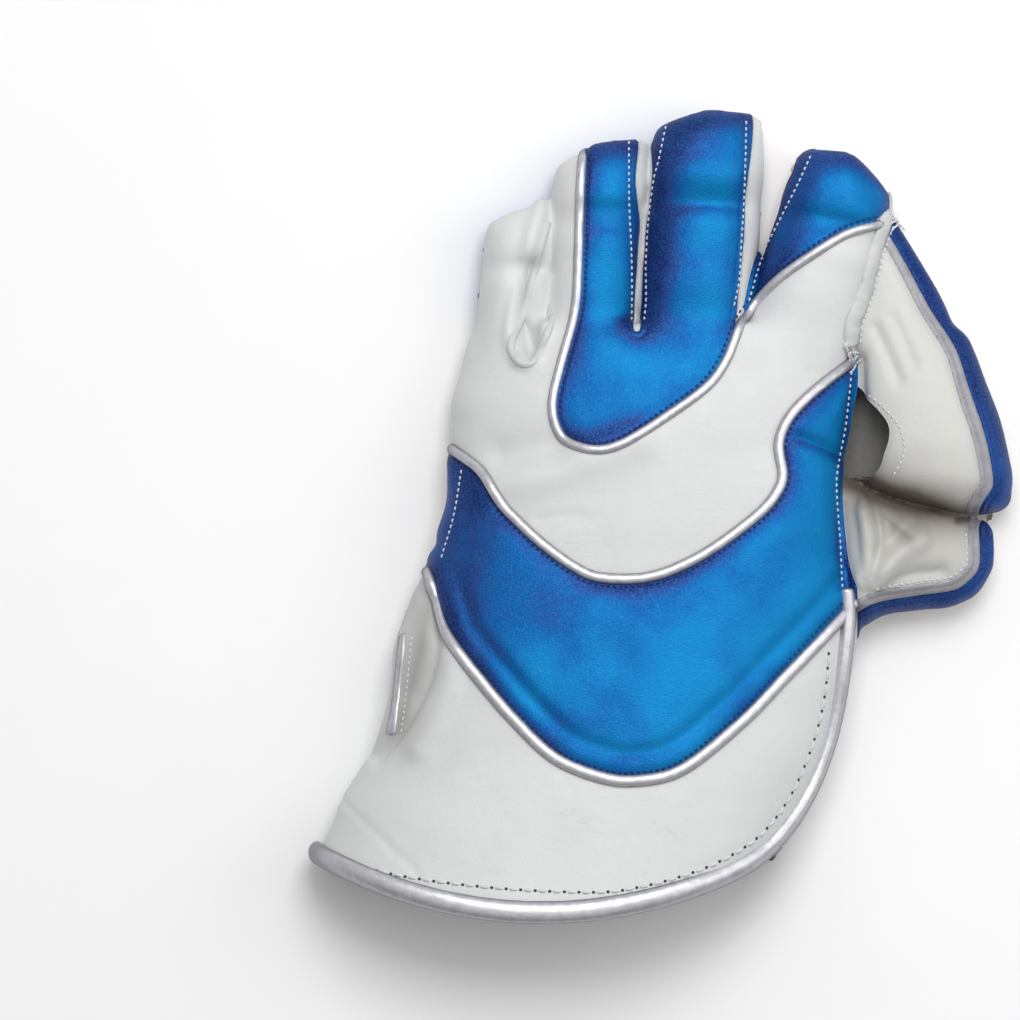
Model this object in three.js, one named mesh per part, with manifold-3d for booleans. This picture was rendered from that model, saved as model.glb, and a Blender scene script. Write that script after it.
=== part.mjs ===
// A left-hand wicketkeeping glove, lying palm down.
// Millimetres, +Z up, +Y towards the fingertips, +X towards the thumb, resting on the plane z = 0.
//
// The body of the glove is a set of lofted tubes: hand with cuff, four fingers, thumb and thumb base.
// Each tube can be made larger or smaller all round, so the leather is one size of the joined tubes less
// another, and every panel, band and piping on it follows the same surface.
import * as THREE from "three";
import { mergeVertices } from "three/addons/utils/BufferGeometryUtils.js";
import Module from "manifold-3d";

const wasm = await Module();
wasm.setup();

// Sizes of the whole glove.
const palmLength = 100; // wrist line to finger roots
const cuffLength = 142; // wrist line to the lowest point of the hem
const wristWidth = 169;
const wristHeight = 46;
const fingerLength = 103; // middle finger, from inside the knuckles to the tip
const fingerWidth = 46;
const fingerHeight = 32;
const thumbReach = 65; // from the side of the hand to the outermost point of the thumb
const thumbHeight = 34;
const cuffLift = 3; // underside of the cuff above the floor
const palmHemSetBack = 8; // the palm hem ends this far before the back hem
const underFloor = 1.5; // the tubes start this far below the floor, which cuts them flat
const fingertipLift = 6.5; // underside of a fingertip above that level

// Thicknesses and clearances.
const leather = 2.2;
const rubber = 3.2;
const gap = 0.3;
const thinPanel = 1.4;
const paddedPanel = 3.6;
const seamHeight = 10; // height of the side seam between back and palm
const panelEdgeHeight = 15; // no panel of the back comes lower than this
const pipingRadius = 1.9;
const seamRadius = 1.6;
const webSeamRadius = 2.6;
const bindingRadius = 3.3;
const tapeWidth = 6;
const bandWidth = 5;
const trimWidth = 4;
const seamMargin = 2; // bands and tapes end this far from the side seam
const wristBandWidth = 12;
const webHoleLength = 36;
const webHoleWidth = 14;
const palmHoleLength = 20;
const palmHoleWidth = 11;

// Places along the hand, in palm lengths above the wrist line and cuff lengths below it.
const webHoleAlong = 0.51;
const palmHoleAlong = 0.56;
const thumbFoldAlong = 0.19;
const palmEdgeAlong = -0.14;
const cuffLiftFrom = -0.05;
const cuffLiftTo = -0.12;
const fingertipFrom = 0.85; // in finger lengths

// Rows across hand and cuff. along is in palm lengths above the wrist line and in cuff lengths below it.
// centre, half and the bow of the row are in half wrist widths and cuff lengths, top in wrist heights.
const handRows = [
  { along: -0.845, centre: -0.47, half: 1.075, top: 1.38, bow: 0.16 },
  { along: -0.676, centre: -0.31, half: 1.11, top: 1.28, bow: 0.114 },
  { along: -0.535, centre: -0.19, half: 1.085, top: 1.2, bow: 0.079 },
  { along: -0.394, centre: -0.117, half: 1.08, top: 1.13, bow: 0.046 },
  { along: -0.254, centre: -0.077, half: 1.097, top: 1.07, bow: 0.019 },
  { along: -0.113, centre: -0.025, half: 1.068, top: 1.02, bow: 0 },
  { along: 0, centre: 0, half: 1, top: 1, bow: 0 },
  { along: 0.24, centre: 0.04, half: 0.946, top: 0.98, bow: 0 },
  { along: 0.34, centre: 0.042, half: 0.945, top: 0.965, bow: 0 },
  { along: 0.44, centre: 0.04, half: 0.946, top: 0.945, bow: 0 },
  { along: 0.64, centre: 0.057, half: 0.953, top: 0.89, bow: 0 },
  { along: 0.84, centre: 0.092, half: 0.922, top: 0.79, bow: 0 },
  { along: 0.9, centre: 0.098, half: 0.905, top: 0.755, bow: 0 },
  { along: 0.945, centre: 0.1, half: 0.86, top: 0.72, bow: 0 },
];

// Folds and dents of the back. along and across place the middle, long and wide are in palm lengths,
// turn is in degrees from the across direction, rise in wrist heights.
const folds = [
  { across: -0.6, along: 0.43, long: 0.16, wide: 0.09, turn: -20, rise: -0.06 },
  { across: -0.36, along: 0.36, long: 0.3, wide: 0.08, turn: 15, rise: 0.04 },
  { across: 0.45, along: 0.64, long: 0.1, wide: 0.2, turn: 0, rise: -0.045 },
  { across: 0.82, along: 0.45, long: 0.16, wide: 0.06, turn: -10, rise: -0.045 },
  { across: -0.79, along: -0.7, long: 0.3, wide: 0.09, turn: -45, rise: -0.06 },
  { across: 0.1, along: -0.12, long: 0.5, wide: 0.12, turn: 0, rise: 0.03 },
];

// Fingers. across and along place the root inside the hand, lean is in degrees towards the thumb.
// length is in middle-finger lengths, rootHalf and tipHalf in finger widths, height in finger heights.
// left and right are the drops of the corners of the tip, in finger widths.
const fingers = [
  {
    across: 0.67, along: 0.76, lean: 15.5, length: 0.871, rootHalf: 0.5, tipHalf: 0.44, height: 0.96,
    left: 0.05, right: 0.2,
  },
  {
    across: 0.165, along: 0.76, lean: 4.4, length: 1, rootHalf: 0.53, tipHalf: 0.475, height: 1,
    left: 0.14, right: 0,
  },
  {
    across: -0.37, along: 0.76, lean: 4.8, length: 0.88, rootHalf: 0.395, tipHalf: 0.4, height: 0.95,
    left: 0.18, right: -0.06,
  },
  {
    across: -0.74, along: 0.72, lean: 4, length: 0.663, rootHalf: 0.335, tipHalf: 0.295, height: 0.86,
    left: 0.1, right: -0.1,
  },
];
const cornerBend = 1.3; // exponent of the drop across a fingertip
const cornerStart = 5; // exponent of the drop along the finger

// Rows along a finger, from root to tip. half and top are shares of the finger's own half width and height.
const fingerRows = [
  { along: 0, half: 0.94, top: 1.02 },
  { along: 0.3, half: 1, top: 1.02 },
  { along: 0.58, half: 1, top: 0.98 },
  { along: 0.66, half: 0.985, top: 0.91 },
  { along: 0.76, half: 1, top: 0.95 },
  { along: 0.9, half: 0.94, top: 0.88 },
  { along: 0.97, half: 0.82, top: 0.76 },
  { along: 1, half: 0.64, top: 0.62 },
];

// Rows across thumb and web, from the index finger down to the fold. along is in palm lengths, inner and
// outer in thumb reaches from the side of the hand, innerTop and outerTop in thumb heights.
const thumbRows = [
  { along: 1.36, inner: 0.19, outer: 0.32, innerTop: 0.5, outerTop: 0.48 },
  { along: 1.2, inner: 0.1, outer: 0.47, innerTop: 0.56, outerTop: 0.56 },
  { along: 1.04, inner: 0.03, outer: 0.61, innerTop: 0.62, outerTop: 0.66 },
  { along: 0.88, inner: -0.04, outer: 0.71, innerTop: 0.7, outerTop: 0.8 },
  { along: 0.72, inner: -0.06, outer: 0.8, innerTop: 0.78, outerTop: 0.92 },
  { along: 0.56, inner: -0.06, outer: 0.91, innerTop: 0.84, outerTop: 1 },
  { along: 0.4, inner: -0.06, outer: 0.99, innerTop: 0.88, outerTop: 1.03 },
  { along: 0.28, inner: -0.05, outer: 1, innerTop: 0.86, outerTop: 1 },
  { along: 0.205, inner: 0.02, outer: 0.95, innerTop: 0.72, outerTop: 0.82 },
  { along: 0.175, inner: 0.16, outer: 0.84, innerTop: 0.58, outerTop: 0.62 },
];

// Rows across the base of the thumb, from the hand outwards. low and high are in palm lengths.
const thumbBaseRows = [
  { out: -0.12, low: -0.26, high: 0.34, top: 1.08 },
  { out: 0.02, low: -0.27, high: 0.34, top: 1.06 },
  { out: 0.17, low: -0.225, high: 0.33, top: 1 },
  { out: 0.42, low: -0.196, high: 0.31, top: 0.92 },
  { out: 0.66, low: -0.172, high: 0.28, top: 0.8 },
  { out: 0.8, low: -0.11, high: 0.22, top: 0.66 },
  { out: 0.87, low: -0.03, high: 0.14, top: 0.5 },
];

// Outlines and seams on the back as across and along shares of the hand.
const fingerPipingLine = [
  [-0.43, 1.66], [-0.45, 1.48], [-0.46, 1.24], [-0.48, 1.0], [-0.5, 0.78], [-0.5, 0.62], [-0.46, 0.51],
  [-0.38, 0.46], [-0.26, 0.44], [-0.13, 0.47], [0.06, 0.57], [0.25, 0.69], [0.33, 0.79], [0.37, 0.87],
  [0.45, 0.97], [0.58, 1.08], [0.72, 1.17], [0.97, 1.29], [1.1, 1.33],
];
const indexFoot = 14; // the point of this line at the foot of the slit beside the index finger
const indexPanelTips = [
  [1.16, 1.35], [1.29, 1.48], [1.16, 1.75], [0.75, 1.75], [0.74, 1.58], [0.67, 1.48], [0.6, 1.36],
  [0.54, 1.26], [0.49, 1.16], [0.45, 1.03],
];
const fingerPanelTips = [
  [0.41, 1.01], [0.44, 1.16], [0.46, 1.28], [0.47, 1.44], [0.48, 1.87], [-0.04, 1.87],
  [-0.05, 1.55], [-0.09, 1.28], [-0.12, 0.94], [-0.16, 0.94], [-0.14, 1.24], [-0.13, 1.36], [-0.15, 1.52],
  [-0.15, 1.75], [-0.43, 1.75],
];
const wristUpperLine = [
  [-0.99, 0.45], [-0.85, 0.36], [-0.75, 0.24], [-0.69, 0.19], [-0.5, 0.07], [-0.31, -0.02], [-0.18, -0.05],
  [0.03, -0.05], [0.21, -0.01], [0.37, 0.07], [0.55, 0.19], [0.63, 0.27], [0.66, 0.34], [0.64, 0.46],
  [0.67, 0.56], [0.76, 0.65], [0.87, 0.73], [0.99, 0.81],
];
const wristLowerLine = [
  [-0.99, -0.03], [-0.88, -0.11], [-0.77, -0.22], [-0.61, -0.32], [-0.44, -0.41], [-0.23, -0.49],
  [-0.01, -0.53], [0.15, -0.54], [0.34, -0.52], [0.55, -0.42], [0.69, -0.32], [0.83, -0.22], [0.98, -0.11],
];
const thumbSeamLine = [
  [1.3, 1.5], [1.23, 1.35], [1.16, 1.2], [1.11, 1.04], [1.03, 0.88], [1.03, 0.7], [1.03, 0.48], [1.03, 0.32],
  [1.04, 0.2], [1.04, 0.08], [1.03, 0], [1.025, -0.07], [1.04, -0.4],
];
const webSeamLine = [[1.23, 1.38], [1.19, 1.3], [1.15, 1.2], [1.1, 1.06], [1.04, 0.95], [0.97, 0.86]];
const littleSeamLine = [
  [-0.63, 1.36], [-0.67, 1.26], [-0.71, 1.14], [-0.77, 0.98], [-0.78, 0.86], [-0.71, 0.79], [-0.64, 0.79],
  [-0.61, 0.87],
];
const sideBindingLine = [[-0.96, -0.2], [-0.97, -0.3], [-0.965, -0.4], [-0.955, -0.49]];
const palmInsetOutline = [
  [0.86, -0.2], [0.79, -0.36], [0.66, -0.53], [0.5, -0.64], [0.2, -0.66], [0.02, -0.55], [-0.2, -0.36],
  [-0.32, -0.2],
];
const wristPanelSides = { thumb: [[1, 0.8], [1, -0.1]], littleFinger: [[-1.08, -0.02], [-1.08, 0.45]] };
const handToCuffShift = 0.06; // the two leathers meet this far, in cuff lengths, above the lower piping

const segments = { hand: 24, finger: 10, thumb: 10, piping: 5, binding: 6 };
const steps = { hem: 36, tape: 20, strip: 6, webHole: 10, palmHole: 12 };
const cordDetail = 1.5; // steps of a laid cord for each point of its line
const weldWithin = 1e-4;
const arch = 2.4; // exponent of the rounded upper half of a section
const sole = 3.6; // exponent of its flatter lower half
const reach = 400; // longer than the glove, for cutting tools
const mouthOverrun = 20; // the room inside is cut this far past the hem

// Solids

function toSolid(geometry) {
  geometry.deleteAttribute("normal");
  geometry.deleteAttribute("uv");
  const merged = mergeVertices(geometry, weldWithin);
  return new wasm.Manifold(
    new wasm.Mesh({
      numProp: 3,
      vertProperties: merged.attributes.position.array,
      triVerts: new Uint32Array(merged.index.array),
    }),
  );
}

function toGeometry(solid) {
  const mesh = solid.getMesh();
  const geometry = new THREE.BufferGeometry();
  geometry.setAttribute("position", new THREE.BufferAttribute(mesh.vertProperties, 3));
  geometry.setIndex(new THREE.BufferAttribute(mesh.triVerts, 1));
  geometry.computeVertexNormals();
  return geometry;
}

// A closed tube through rings of equally many points, each ring turning the same way.
function loft(rings) {
  const count = rings[0].length;
  const last = rings.length - 1;
  const points = rings.flat();
  const faces = [];
  for (let i = 0; i < last; i++)
    for (let j = 0; j < count; j++) {
      const a = i * count + j;
      const b = i * count + ((j + 1) % count);
      faces.push(a, b, b + count, a, b + count, a + count);
    }
  const middle = (ring) =>
    ring.reduce((sum, p) => sum.add(p), new THREE.Vector3()).divideScalar(count);
  const start = points.push(middle(rings[0])) - 1;
  const end = points.push(middle(rings[last])) - 1;
  for (let j = 0; j < count; j++) {
    const next = (j + 1) % count;
    faces.push(start, next, j, end, last * count + j, last * count + next);
  }
  const geometry = new THREE.BufferGeometry().setFromPoints(points);
  geometry.setIndex(faces);
  return toSolid(geometry);
}

// One ring of a tube. Its points are given to place as across, from -1 to 1, and up, from -1 to 1.
function ring(count, place) {
  const points = [];
  for (let k = 0; k < count; k++) {
    const turn = (2 * Math.PI * k) / count;
    const power = 2 / (turn <= Math.PI ? arch : sole);
    const across = Math.sign(Math.cos(turn)) * Math.abs(Math.cos(turn)) ** power;
    const up = Math.sign(Math.sin(turn)) * Math.abs(Math.sin(turn)) ** power;
    points.push(place(across, up));
  }
  return points;
}

// Height of a point of a section between its lowest, seam and highest level.
function level(up, low, top, grow) {
  const seam = Math.min(seamHeight, (low + top) / 2);
  return up > 0 ? seam + up * (top - seam + grow) : seam + up * (seam - low + grow);
}

// A vertical prism on an outline of plan points.
function prism(outline, from, to) {
  const shape = new THREE.Shape(outline.map((p) => new THREE.Vector2(p.x, p.y)));
  const geometry = new THREE.ExtrudeGeometry(shape, { depth: to - from, bevelEnabled: false });
  return toSolid(geometry.translate(0, 0, from));
}

function slab(from, to) {
  return toSolid(new THREE.BoxGeometry(2 * reach, 2 * reach, to - from).translate(0, 0, (from + to) / 2));
}

const join = (solids) => solids.reduce((all, one) => all.add(one));

// Places on the hand

const alongToY = (along) => along * (along > 0 ? palmLength : cuffLength);

// The row of the hand at a share along it, worked out between the rows of the table.
function rowAt(along) {
  const last = handRows.length - 1;
  const clamped = THREE.MathUtils.clamp(along, handRows[0].along, handRows[last].along);
  const i = Math.max(1, handRows.findIndex((row) => row.along >= clamped));
  const [low, high] = [handRows[i - 1], handRows[i]];
  const mix = (clamped - low.along) / (high.along - low.along);
  const at = (key) => THREE.MathUtils.lerp(low[key], high[key], mix);
  return {
    y: alongToY(along),
    centre: (at("centre") * wristWidth) / 2,
    half: (at("half") * wristWidth) / 2,
    top: at("top") * wristHeight,
    bow: at("bow") * cuffLength,
  };
}

function plan([across, along]) {
  const row = rowAt(along);
  const bowed = row.bow * Math.max(0, 1 - across * across);
  return new THREE.Vector2(row.centre + across * row.half, row.y - bowed);
}

const sideAt = (along) => plan([1, along]).x;

function foldHeight(x, y) {
  return folds.reduce((sum, fold) => {
    const middle = plan([fold.across, fold.along]);
    const turned = new THREE.Vector2(x, y).sub(middle).rotateAround(
      new THREE.Vector2(),
      -THREE.MathUtils.degToRad(fold.turn),
    );
    const u = turned.x / (fold.long * palmLength);
    const v = turned.y / (fold.wide * palmLength);
    return sum + fold.rise * wristHeight * Math.exp(-u * u - v * v);
  }, 0);
}

// Tubes

// Hand and cuff, larger by grow all round and carried on past the mouth by overrun.
function handTube(grow, overrun = 0) {
  const rings = handRows.map((tableRow, i) => {
    const row = rowAt(tableRow.along);
    const cuff = THREE.MathUtils.smoothstep(-tableRow.along, -cuffLiftFrom, -cuffLiftTo);
    const low = THREE.MathUtils.lerp(-underFloor, cuffLift, cuff);
    const setBack = i === 0 ? palmHemSetBack : 0;
    const shift = i === 0 ? -grow : i === handRows.length - 1 ? grow : 0;
    return ring(segments.hand, (across, up) => {
      const x = row.centre + across * (row.half + grow);
      const y = row.y + shift - row.bow * (1 - across * across) + setBack * Math.max(0, -up);
      const fold = up > 0 ? up * foldHeight(x, y) : 0;
      return new THREE.Vector3(x, y, level(up, low, row.top, grow) + fold);
    });
  });
  if (overrun) rings.unshift(rings[0].map((p) => p.clone().setY(p.y - overrun)));
  return loft(rings.reverse());
}

function fingerTube(finger, grow) {
  const root = plan([finger.across, finger.along]);
  const lean = THREE.MathUtils.degToRad(finger.lean);
  const forward = new THREE.Vector2(Math.sin(lean), Math.cos(lean));
  const side = new THREE.Vector2(forward.y, -forward.x);
  const length = finger.length * fingerLength + grow;
  const rings = fingerRows.map((row) => {
    const at = root.clone().addScaledVector(forward, row.along * length);
    const share = THREE.MathUtils.lerp(finger.rootHalf, finger.tipHalf, row.along);
    const half = share * row.half * fingerWidth + grow;
    const low = fingertipLift * THREE.MathUtils.smoothstep(row.along, fingertipFrom, 1) - underFloor;
    return ring(segments.finger, (across, up) => {
      const drop = (across > 0 ? finger.right : finger.left) * fingerWidth * row.along ** cornerStart;
      const p = at.clone().addScaledVector(side, across * half);
      p.addScaledVector(forward, -drop * Math.abs(across) ** cornerBend);
      return new THREE.Vector3(p.x, p.y, level(up, low, finger.height * row.top * fingerHeight, grow));
    });
  });
  return loft(rings.reverse());
}

// Outer edge of thumb and web, set in by inset.
const thumbEdge = (inset) =>
  thumbRows.map((row) =>
    new THREE.Vector2(sideAt(row.along) + row.outer * thumbReach - inset, alongToY(row.along)),
  );

function thumbTube(grow) {
  const last = thumbRows.length - 1;
  const rings = thumbRows.map((row, i) => {
    const side = sideAt(row.along);
    const inner = side + row.inner * thumbReach;
    const outer = side + row.outer * thumbReach;
    const half = (outer - inner) / 2 + grow;
    const y = alongToY(row.along) + (i === 0 ? grow : i === last ? -grow : 0);
    return ring(segments.thumb, (across, up) => {
      const share = THREE.MathUtils.lerp(row.innerTop, row.outerTop, (across + 1) / 2);
      const z = level(up, -underFloor, share * thumbHeight, grow);
      return new THREE.Vector3((inner + outer) / 2 + across * half, y, z);
    });
  });
  return loft(rings);
}

const baseSide = () => sideAt(0);
const baseY = (share) => share * palmLength;

function thumbBaseTube(grow) {
  const last = thumbBaseRows.length - 1;
  const rings = thumbBaseRows.map((row, i) => {
    const x = baseSide() + row.out * thumbReach + (i === last ? grow : 0);
    const middle = baseY((row.low + row.high) / 2);
    const half = baseY((row.high - row.low) / 2) + grow;
    return ring(segments.thumb, (across, up) =>
      new THREE.Vector3(x, middle + across * half, level(up, -underFloor, row.top * thumbHeight, grow)),
    );
  });
  return loft(rings);
}

const aboveFloor = slab(0, reach);

// The whole glove, larger by grow all round, as one solid.
function body(grow) {
  const stalls = fingers.map((finger) => fingerTube(finger, grow));
  return join([handTube(grow), ...stalls, thumbTube(grow), thumbBaseTube(grow)]).intersect(aboveFloor);
}

const palmEdgeY = alongToY(palmEdgeAlong);

// Everything on the cuff side of a straight line across the glove.
function cuffRegionBelow(y) {
  return toSolid(new THREE.BoxGeometry(2 * reach, reach, 2 * reach).translate(0, y - reach / 2, 0));
}

// The room inside the walls. The thumb is entered through its base, past the side wall of the hand.
function hollow() {
  const tubes = [
    handTube(-leather, mouthOverrun),
    ...fingers.map((finger) => fingerTube(finger, -leather)),
    thumbTube(-leather).subtract(handTube(0)),
    thumbBaseTube(-leather),
  ];
  return join(tubes).intersect(slab(rubber, reach).add(cuffRegionBelow(palmEdgeY)));
}

const glove = body(0);
const shell = glove.subtract(hollow());
const lifted = body(gap);

const skin = (thickness) => body(gap + thickness).subtract(lifted);

// Height of the glove's surface above a plan point, by dropping on its triangles.
const surface = lifted.getMesh();
function heightAt(x, y) {
  let best = 0;
  const { vertProperties: v, triVerts: t } = surface;
  for (let i = 0; i < t.length; i += 3) {
    const [a, b, c] = [3 * t[i], 3 * t[i + 1], 3 * t[i + 2]];
    const area = (v[b] - v[a]) * (v[c + 1] - v[a + 1]) - (v[c] - v[a]) * (v[b + 1] - v[a + 1]);
    if (Math.abs(area) < 1e-9) continue;
    const u = ((v[b] - x) * (v[c + 1] - y) - (v[c] - x) * (v[b + 1] - y)) / area;
    const w = ((v[c] - x) * (v[a + 1] - y) - (v[a] - x) * (v[c + 1] - y)) / area;
    if (u < 0 || w < 0 || u + w > 1) continue;
    best = Math.max(best, u * v[a + 2] + w * v[b + 2] + (1 - u - w) * v[c + 2]);
  }
  return best;
}

// A round cord along a line, as one closed solid.
function cord(points, radius, steps, sides) {
  const shape = new THREE.Shape();
  for (let k = 0; k < sides; k++) {
    const turn = (2 * Math.PI * k) / sides;
    const corner = [radius * Math.cos(turn), radius * Math.sin(turn)];
    k ? shape.lineTo(...corner) : shape.moveTo(...corner);
  }
  const extrudePath = new THREE.CatmullRomCurve3(points, false, "centripetal");
  return toSolid(new THREE.ExtrudeGeometry(shape, { steps, extrudePath, bevelEnabled: false }));
}

// Plan points evenly along a smooth curve through a line of shares.
const smooth = (line, count) => new THREE.SplineCurve(line.map(plan)).getSpacedPoints(count);

// A cord laid on the back of the glove along a line of shares.
function laidCord(line, radius, { rest = radius, longer = 0 } = {}) {
  const count = Math.round(cordDetail * line.length);
  const points = smooth(line, count).map((p) => {
    const near = [[0, 0], [rest, 0], [-rest, 0], [0, rest], [0, -rest]];
    const z = Math.max(panelEdgeHeight, ...near.map(([dx, dy]) => heightAt(p.x + dx, p.y + dy)));
    return new THREE.Vector3(p.x, p.y, z + rest);
  });
  if (longer) {
    const [first, second] = points;
    const [before, last] = points.slice(-2);
    first.add(first.clone().sub(second).setLength(longer));
    last.add(last.clone().sub(before).setLength(longer));
  }
  return cord(points, radius, count, segments.piping);
}

const offsetLine = (line, across, along) => line.map(([a, v]) => [a + across, v + along]);
const region = (outline, from = panelEdgeHeight) => prism(outline, from, reach);

// Pieces

const white = new THREE.MeshStandardMaterial({ color: 0xdfe3e6, roughness: 0.55 });
const blue = new THREE.MeshStandardMaterial({ color: 0x1a6fb8, roughness: 0.4, metalness: 0.3 });
const silver = new THREE.MeshStandardMaterial({ color: 0xb9bcc6, roughness: 0.35, metalness: 0.7 });
const grey = new THREE.MeshStandardMaterial({ color: 0xa9abb2, roughness: 0.5, metalness: 0.3 });
const facing = new THREE.MeshStandardMaterial({ color: 0xd9cfcd, roughness: 0.8 });

const part = new THREE.Group();

// Adds a piece as a named mesh, without the crumbs that a cut leaves beside its main body.
function addPiece(name, solid, material) {
  const [main] = solid.decompose().sort((a, b) => b.volume() - a.volume());
  const mesh = new THREE.Mesh(toGeometry(main), material);
  mesh.name = name;
  part.add(mesh);
}

// Leather and rubber shell, cut at the side seam and at the seams between hand, cuff and thumb.
const aboveSeam = slab(seamHeight + gap / 2, reach);
const belowSeam = slab(-gap, seamHeight - gap / 2);
const gapShare = gap / cuffLength;

// The cuff's side of its seam with the hand, moved towards the fingers by a share of the cuff length.
function cuffRegion(share) {
  const line = offsetLine(wristLowerLine, 0, handToCuffShift + share).map(plan);
  const [first, last] = [line[0], line[line.length - 1]];
  const corners = [[-reach, first.y], [reach, last.y], [reach, -reach], [-reach, -reach]].map(
    ([x, y]) => new THREE.Vector2(x, y),
  );
  return region([corners[0], ...line, ...corners.slice(1)], -gap);
}

// The thumb's side of its seam with the hand, moved towards the thumb by shift.
function thumbRegion(shift) {
  const line = thumbSeamLine.map(plan).map((p) => new THREE.Vector2(p.x + shift, p.y));
  const [first, last] = [line[0], line[line.length - 1]];
  return region([...line, new THREE.Vector2(reach, last.y), new THREE.Vector2(reach, first.y)], -gap);
}

// A half round hole through the web, with its straight side along the hand, and an oval one under it.
const holeX = sideAt(webHoleAlong) + leather / 2;
const webHoleOutline = new THREE.EllipseCurve(
  holeX, alongToY(webHoleAlong), webHoleWidth, webHoleLength / 2, -Math.PI / 2, Math.PI / 2,
).getPoints(steps.webHole);
const palmHoleOutline = new THREE.EllipseCurve(
  holeX + webHoleWidth / 2, alongToY(palmHoleAlong), palmHoleWidth / 2, palmHoleLength / 2, 0, 2 * Math.PI,
).getPoints(steps.palmHole);
const webHole = prism(webHoleOutline, 0, reach);
const palmHole = prism(palmHoleOutline.slice(1), -gap, reach);

const back = shell.intersect(aboveSeam);
addPiece("hand_back", back.subtract(cuffRegion(gapShare / 2)).subtract(thumbRegion(-gap / 2)), white);
addPiece("cuff_back", back.intersect(cuffRegion(-gapShare / 2)).subtract(thumbRegion(-gap / 2)), white);
addPiece("thumb_back", back.intersect(thumbRegion(gap / 2)).subtract(webHole), white);

const palm = shell.intersect(belowSeam);
const cuffSide = (shift) => cuffRegionBelow(palmEdgeY + shift).subtract(thumbRegion(shift));
addPiece("palm_facing", palm.subtract(cuffSide(gap / 2)).subtract(palmHole), facing);
addPiece("cuff_palm", palm.intersect(cuffSide(-gap / 2)), white);

// Panels of the back with the piping in their seams.
const thinSkin = skin(thinPanel);
const paddedSkin = skin(paddedPanel);
const channel = (line) => laidCord(line, pipingRadius + gap, { rest: pipingRadius, longer: 2 * gap });
const piping = (line) => laidCord(line, pipingRadius).subtract(lifted);

const fingerSkin = thinSkin.subtract(channel(fingerPipingLine));
const fingerOutline = [...fingerPipingLine.slice(0, indexFoot), ...fingerPanelTips].map(plan);
const indexOutline = [...fingerPipingLine.slice(indexFoot), ...indexPanelTips].map(plan);
addPiece("finger_panel", fingerSkin.intersect(region(fingerOutline)), blue);
addPiece("index_panel", fingerSkin.intersect(region(indexOutline)), blue);
addPiece("finger_piping", piping(fingerPipingLine), silver);

const wristOutline = [
  ...wristUpperLine,
  ...wristPanelSides.thumb,
  ...[...wristLowerLine].reverse(),
  ...wristPanelSides.littleFinger,
].map(plan);
const wristChannels = channel(wristUpperLine).add(channel(wristLowerLine));
addPiece("wrist_panel", paddedSkin.intersect(region(wristOutline)).subtract(wristChannels), blue);
addPiece("wrist_piping_upper", piping(wristUpperLine), silver);
addPiece("wrist_piping_lower", piping(wristLowerLine), silver);

// Bindings of the cuff.
const hemCut = lifted.subtract(handTube(-leather - gap, mouthOverrun));
function hemCord() {
  const row = rowAt(handRows[0].along);
  const points = ring(segments.hand, (across, up) => {
    const x = row.centre + across * (row.half - leather / 2);
    const y = row.y - row.bow * (1 - across * across) + palmHemSetBack * Math.max(0, -up);
    return new THREE.Vector3(x, y, level(up, cuffLift, row.top, -leather / 2));
  });
  return cord([...points, points[0]], bindingRadius, steps.hem, segments.binding).subtract(hemCut);
}
const hem = hemCord();
addPiece("hem_binding_back", hem.intersect(aboveSeam), silver);
addPiece("hem_binding_palm", hem.intersect(slab(0, seamHeight - gap / 2)), silver);

// A strip of plan on both sides of a line of shares.
function ribbon(line, width, count) {
  const points = smooth(line, count);
  const side = (sign) =>
    points.map((p, i) => {
      const ahead = points[Math.min(i + 1, count)].clone().sub(points[Math.max(i - 1, 0)]).normalize();
      return new THREE.Vector2(p.x - (sign * ahead.y * width) / 2, p.y + (sign * ahead.x * width) / 2);
    });
  return [...side(1), ...side(-1).reverse()];
}
const sideStrip = region(ribbon(sideBindingLine, tapeWidth, steps.strip));
addPiece("cuff_side_binding", thinSkin.intersect(sideStrip), silver);

// Band, inset and tape on the palm side of the cuff.
const underSkin = thinSkin.intersect(slab(0, seamHeight - seamMargin));
const bandEnd = palmEdgeY - gap - wristBandWidth;
addPiece("wrist_band", underSkin.intersect(cuffSide(-gap)).subtract(cuffRegionBelow(bandEnd)), white);

const belowBand = thinSkin.intersect(slab(0, cuffLift)).intersect(cuffRegionBelow(bandEnd - gap));
const tapeRegion = (width) => region(ribbon(palmInsetOutline, width, steps.tape), 0);
const insetRegion = region(smooth(palmInsetOutline, steps.tape), 0);
addPiece("palm_tape", belowBand.intersect(tapeRegion(tapeWidth)), silver);
addPiece("palm_inset", belowBand.intersect(insetRegion).subtract(tapeRegion(tapeWidth + 2 * gap)), blue);

// Trim and band round the thumb, and round its base below the fold.
const foldY = alongToY(thumbFoldAlong);
const aboveFold = slab(0, reach).subtract(cuffRegionBelow(foldY));
const belowFold = slab(0, reach).intersect(cuffRegionBelow(foldY - gap));
const webSeamChannel = laidCord(webSeamLine, webSeamRadius + gap, { rest: webSeamRadius, longer: 2 * gap });
const onThumb = thinSkin
  .intersect(thumbRegion(gap))
  .subtract(webSeamChannel)
  .intersect(slab(seamHeight + seamMargin, reach));

// Everything outside the outer edge of thumb and web, from inset within it.
function outsideThumb(inset) {
  const edge = thumbEdge(inset);
  const [first, last] = [edge[0], edge[edge.length - 1]];
  return region([
    new THREE.Vector2(first.x, reach),
    ...edge,
    new THREE.Vector2(last.x, -reach),
    new THREE.Vector2(reach, -reach),
    new THREE.Vector2(reach, reach),
  ], 0);
}

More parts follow.
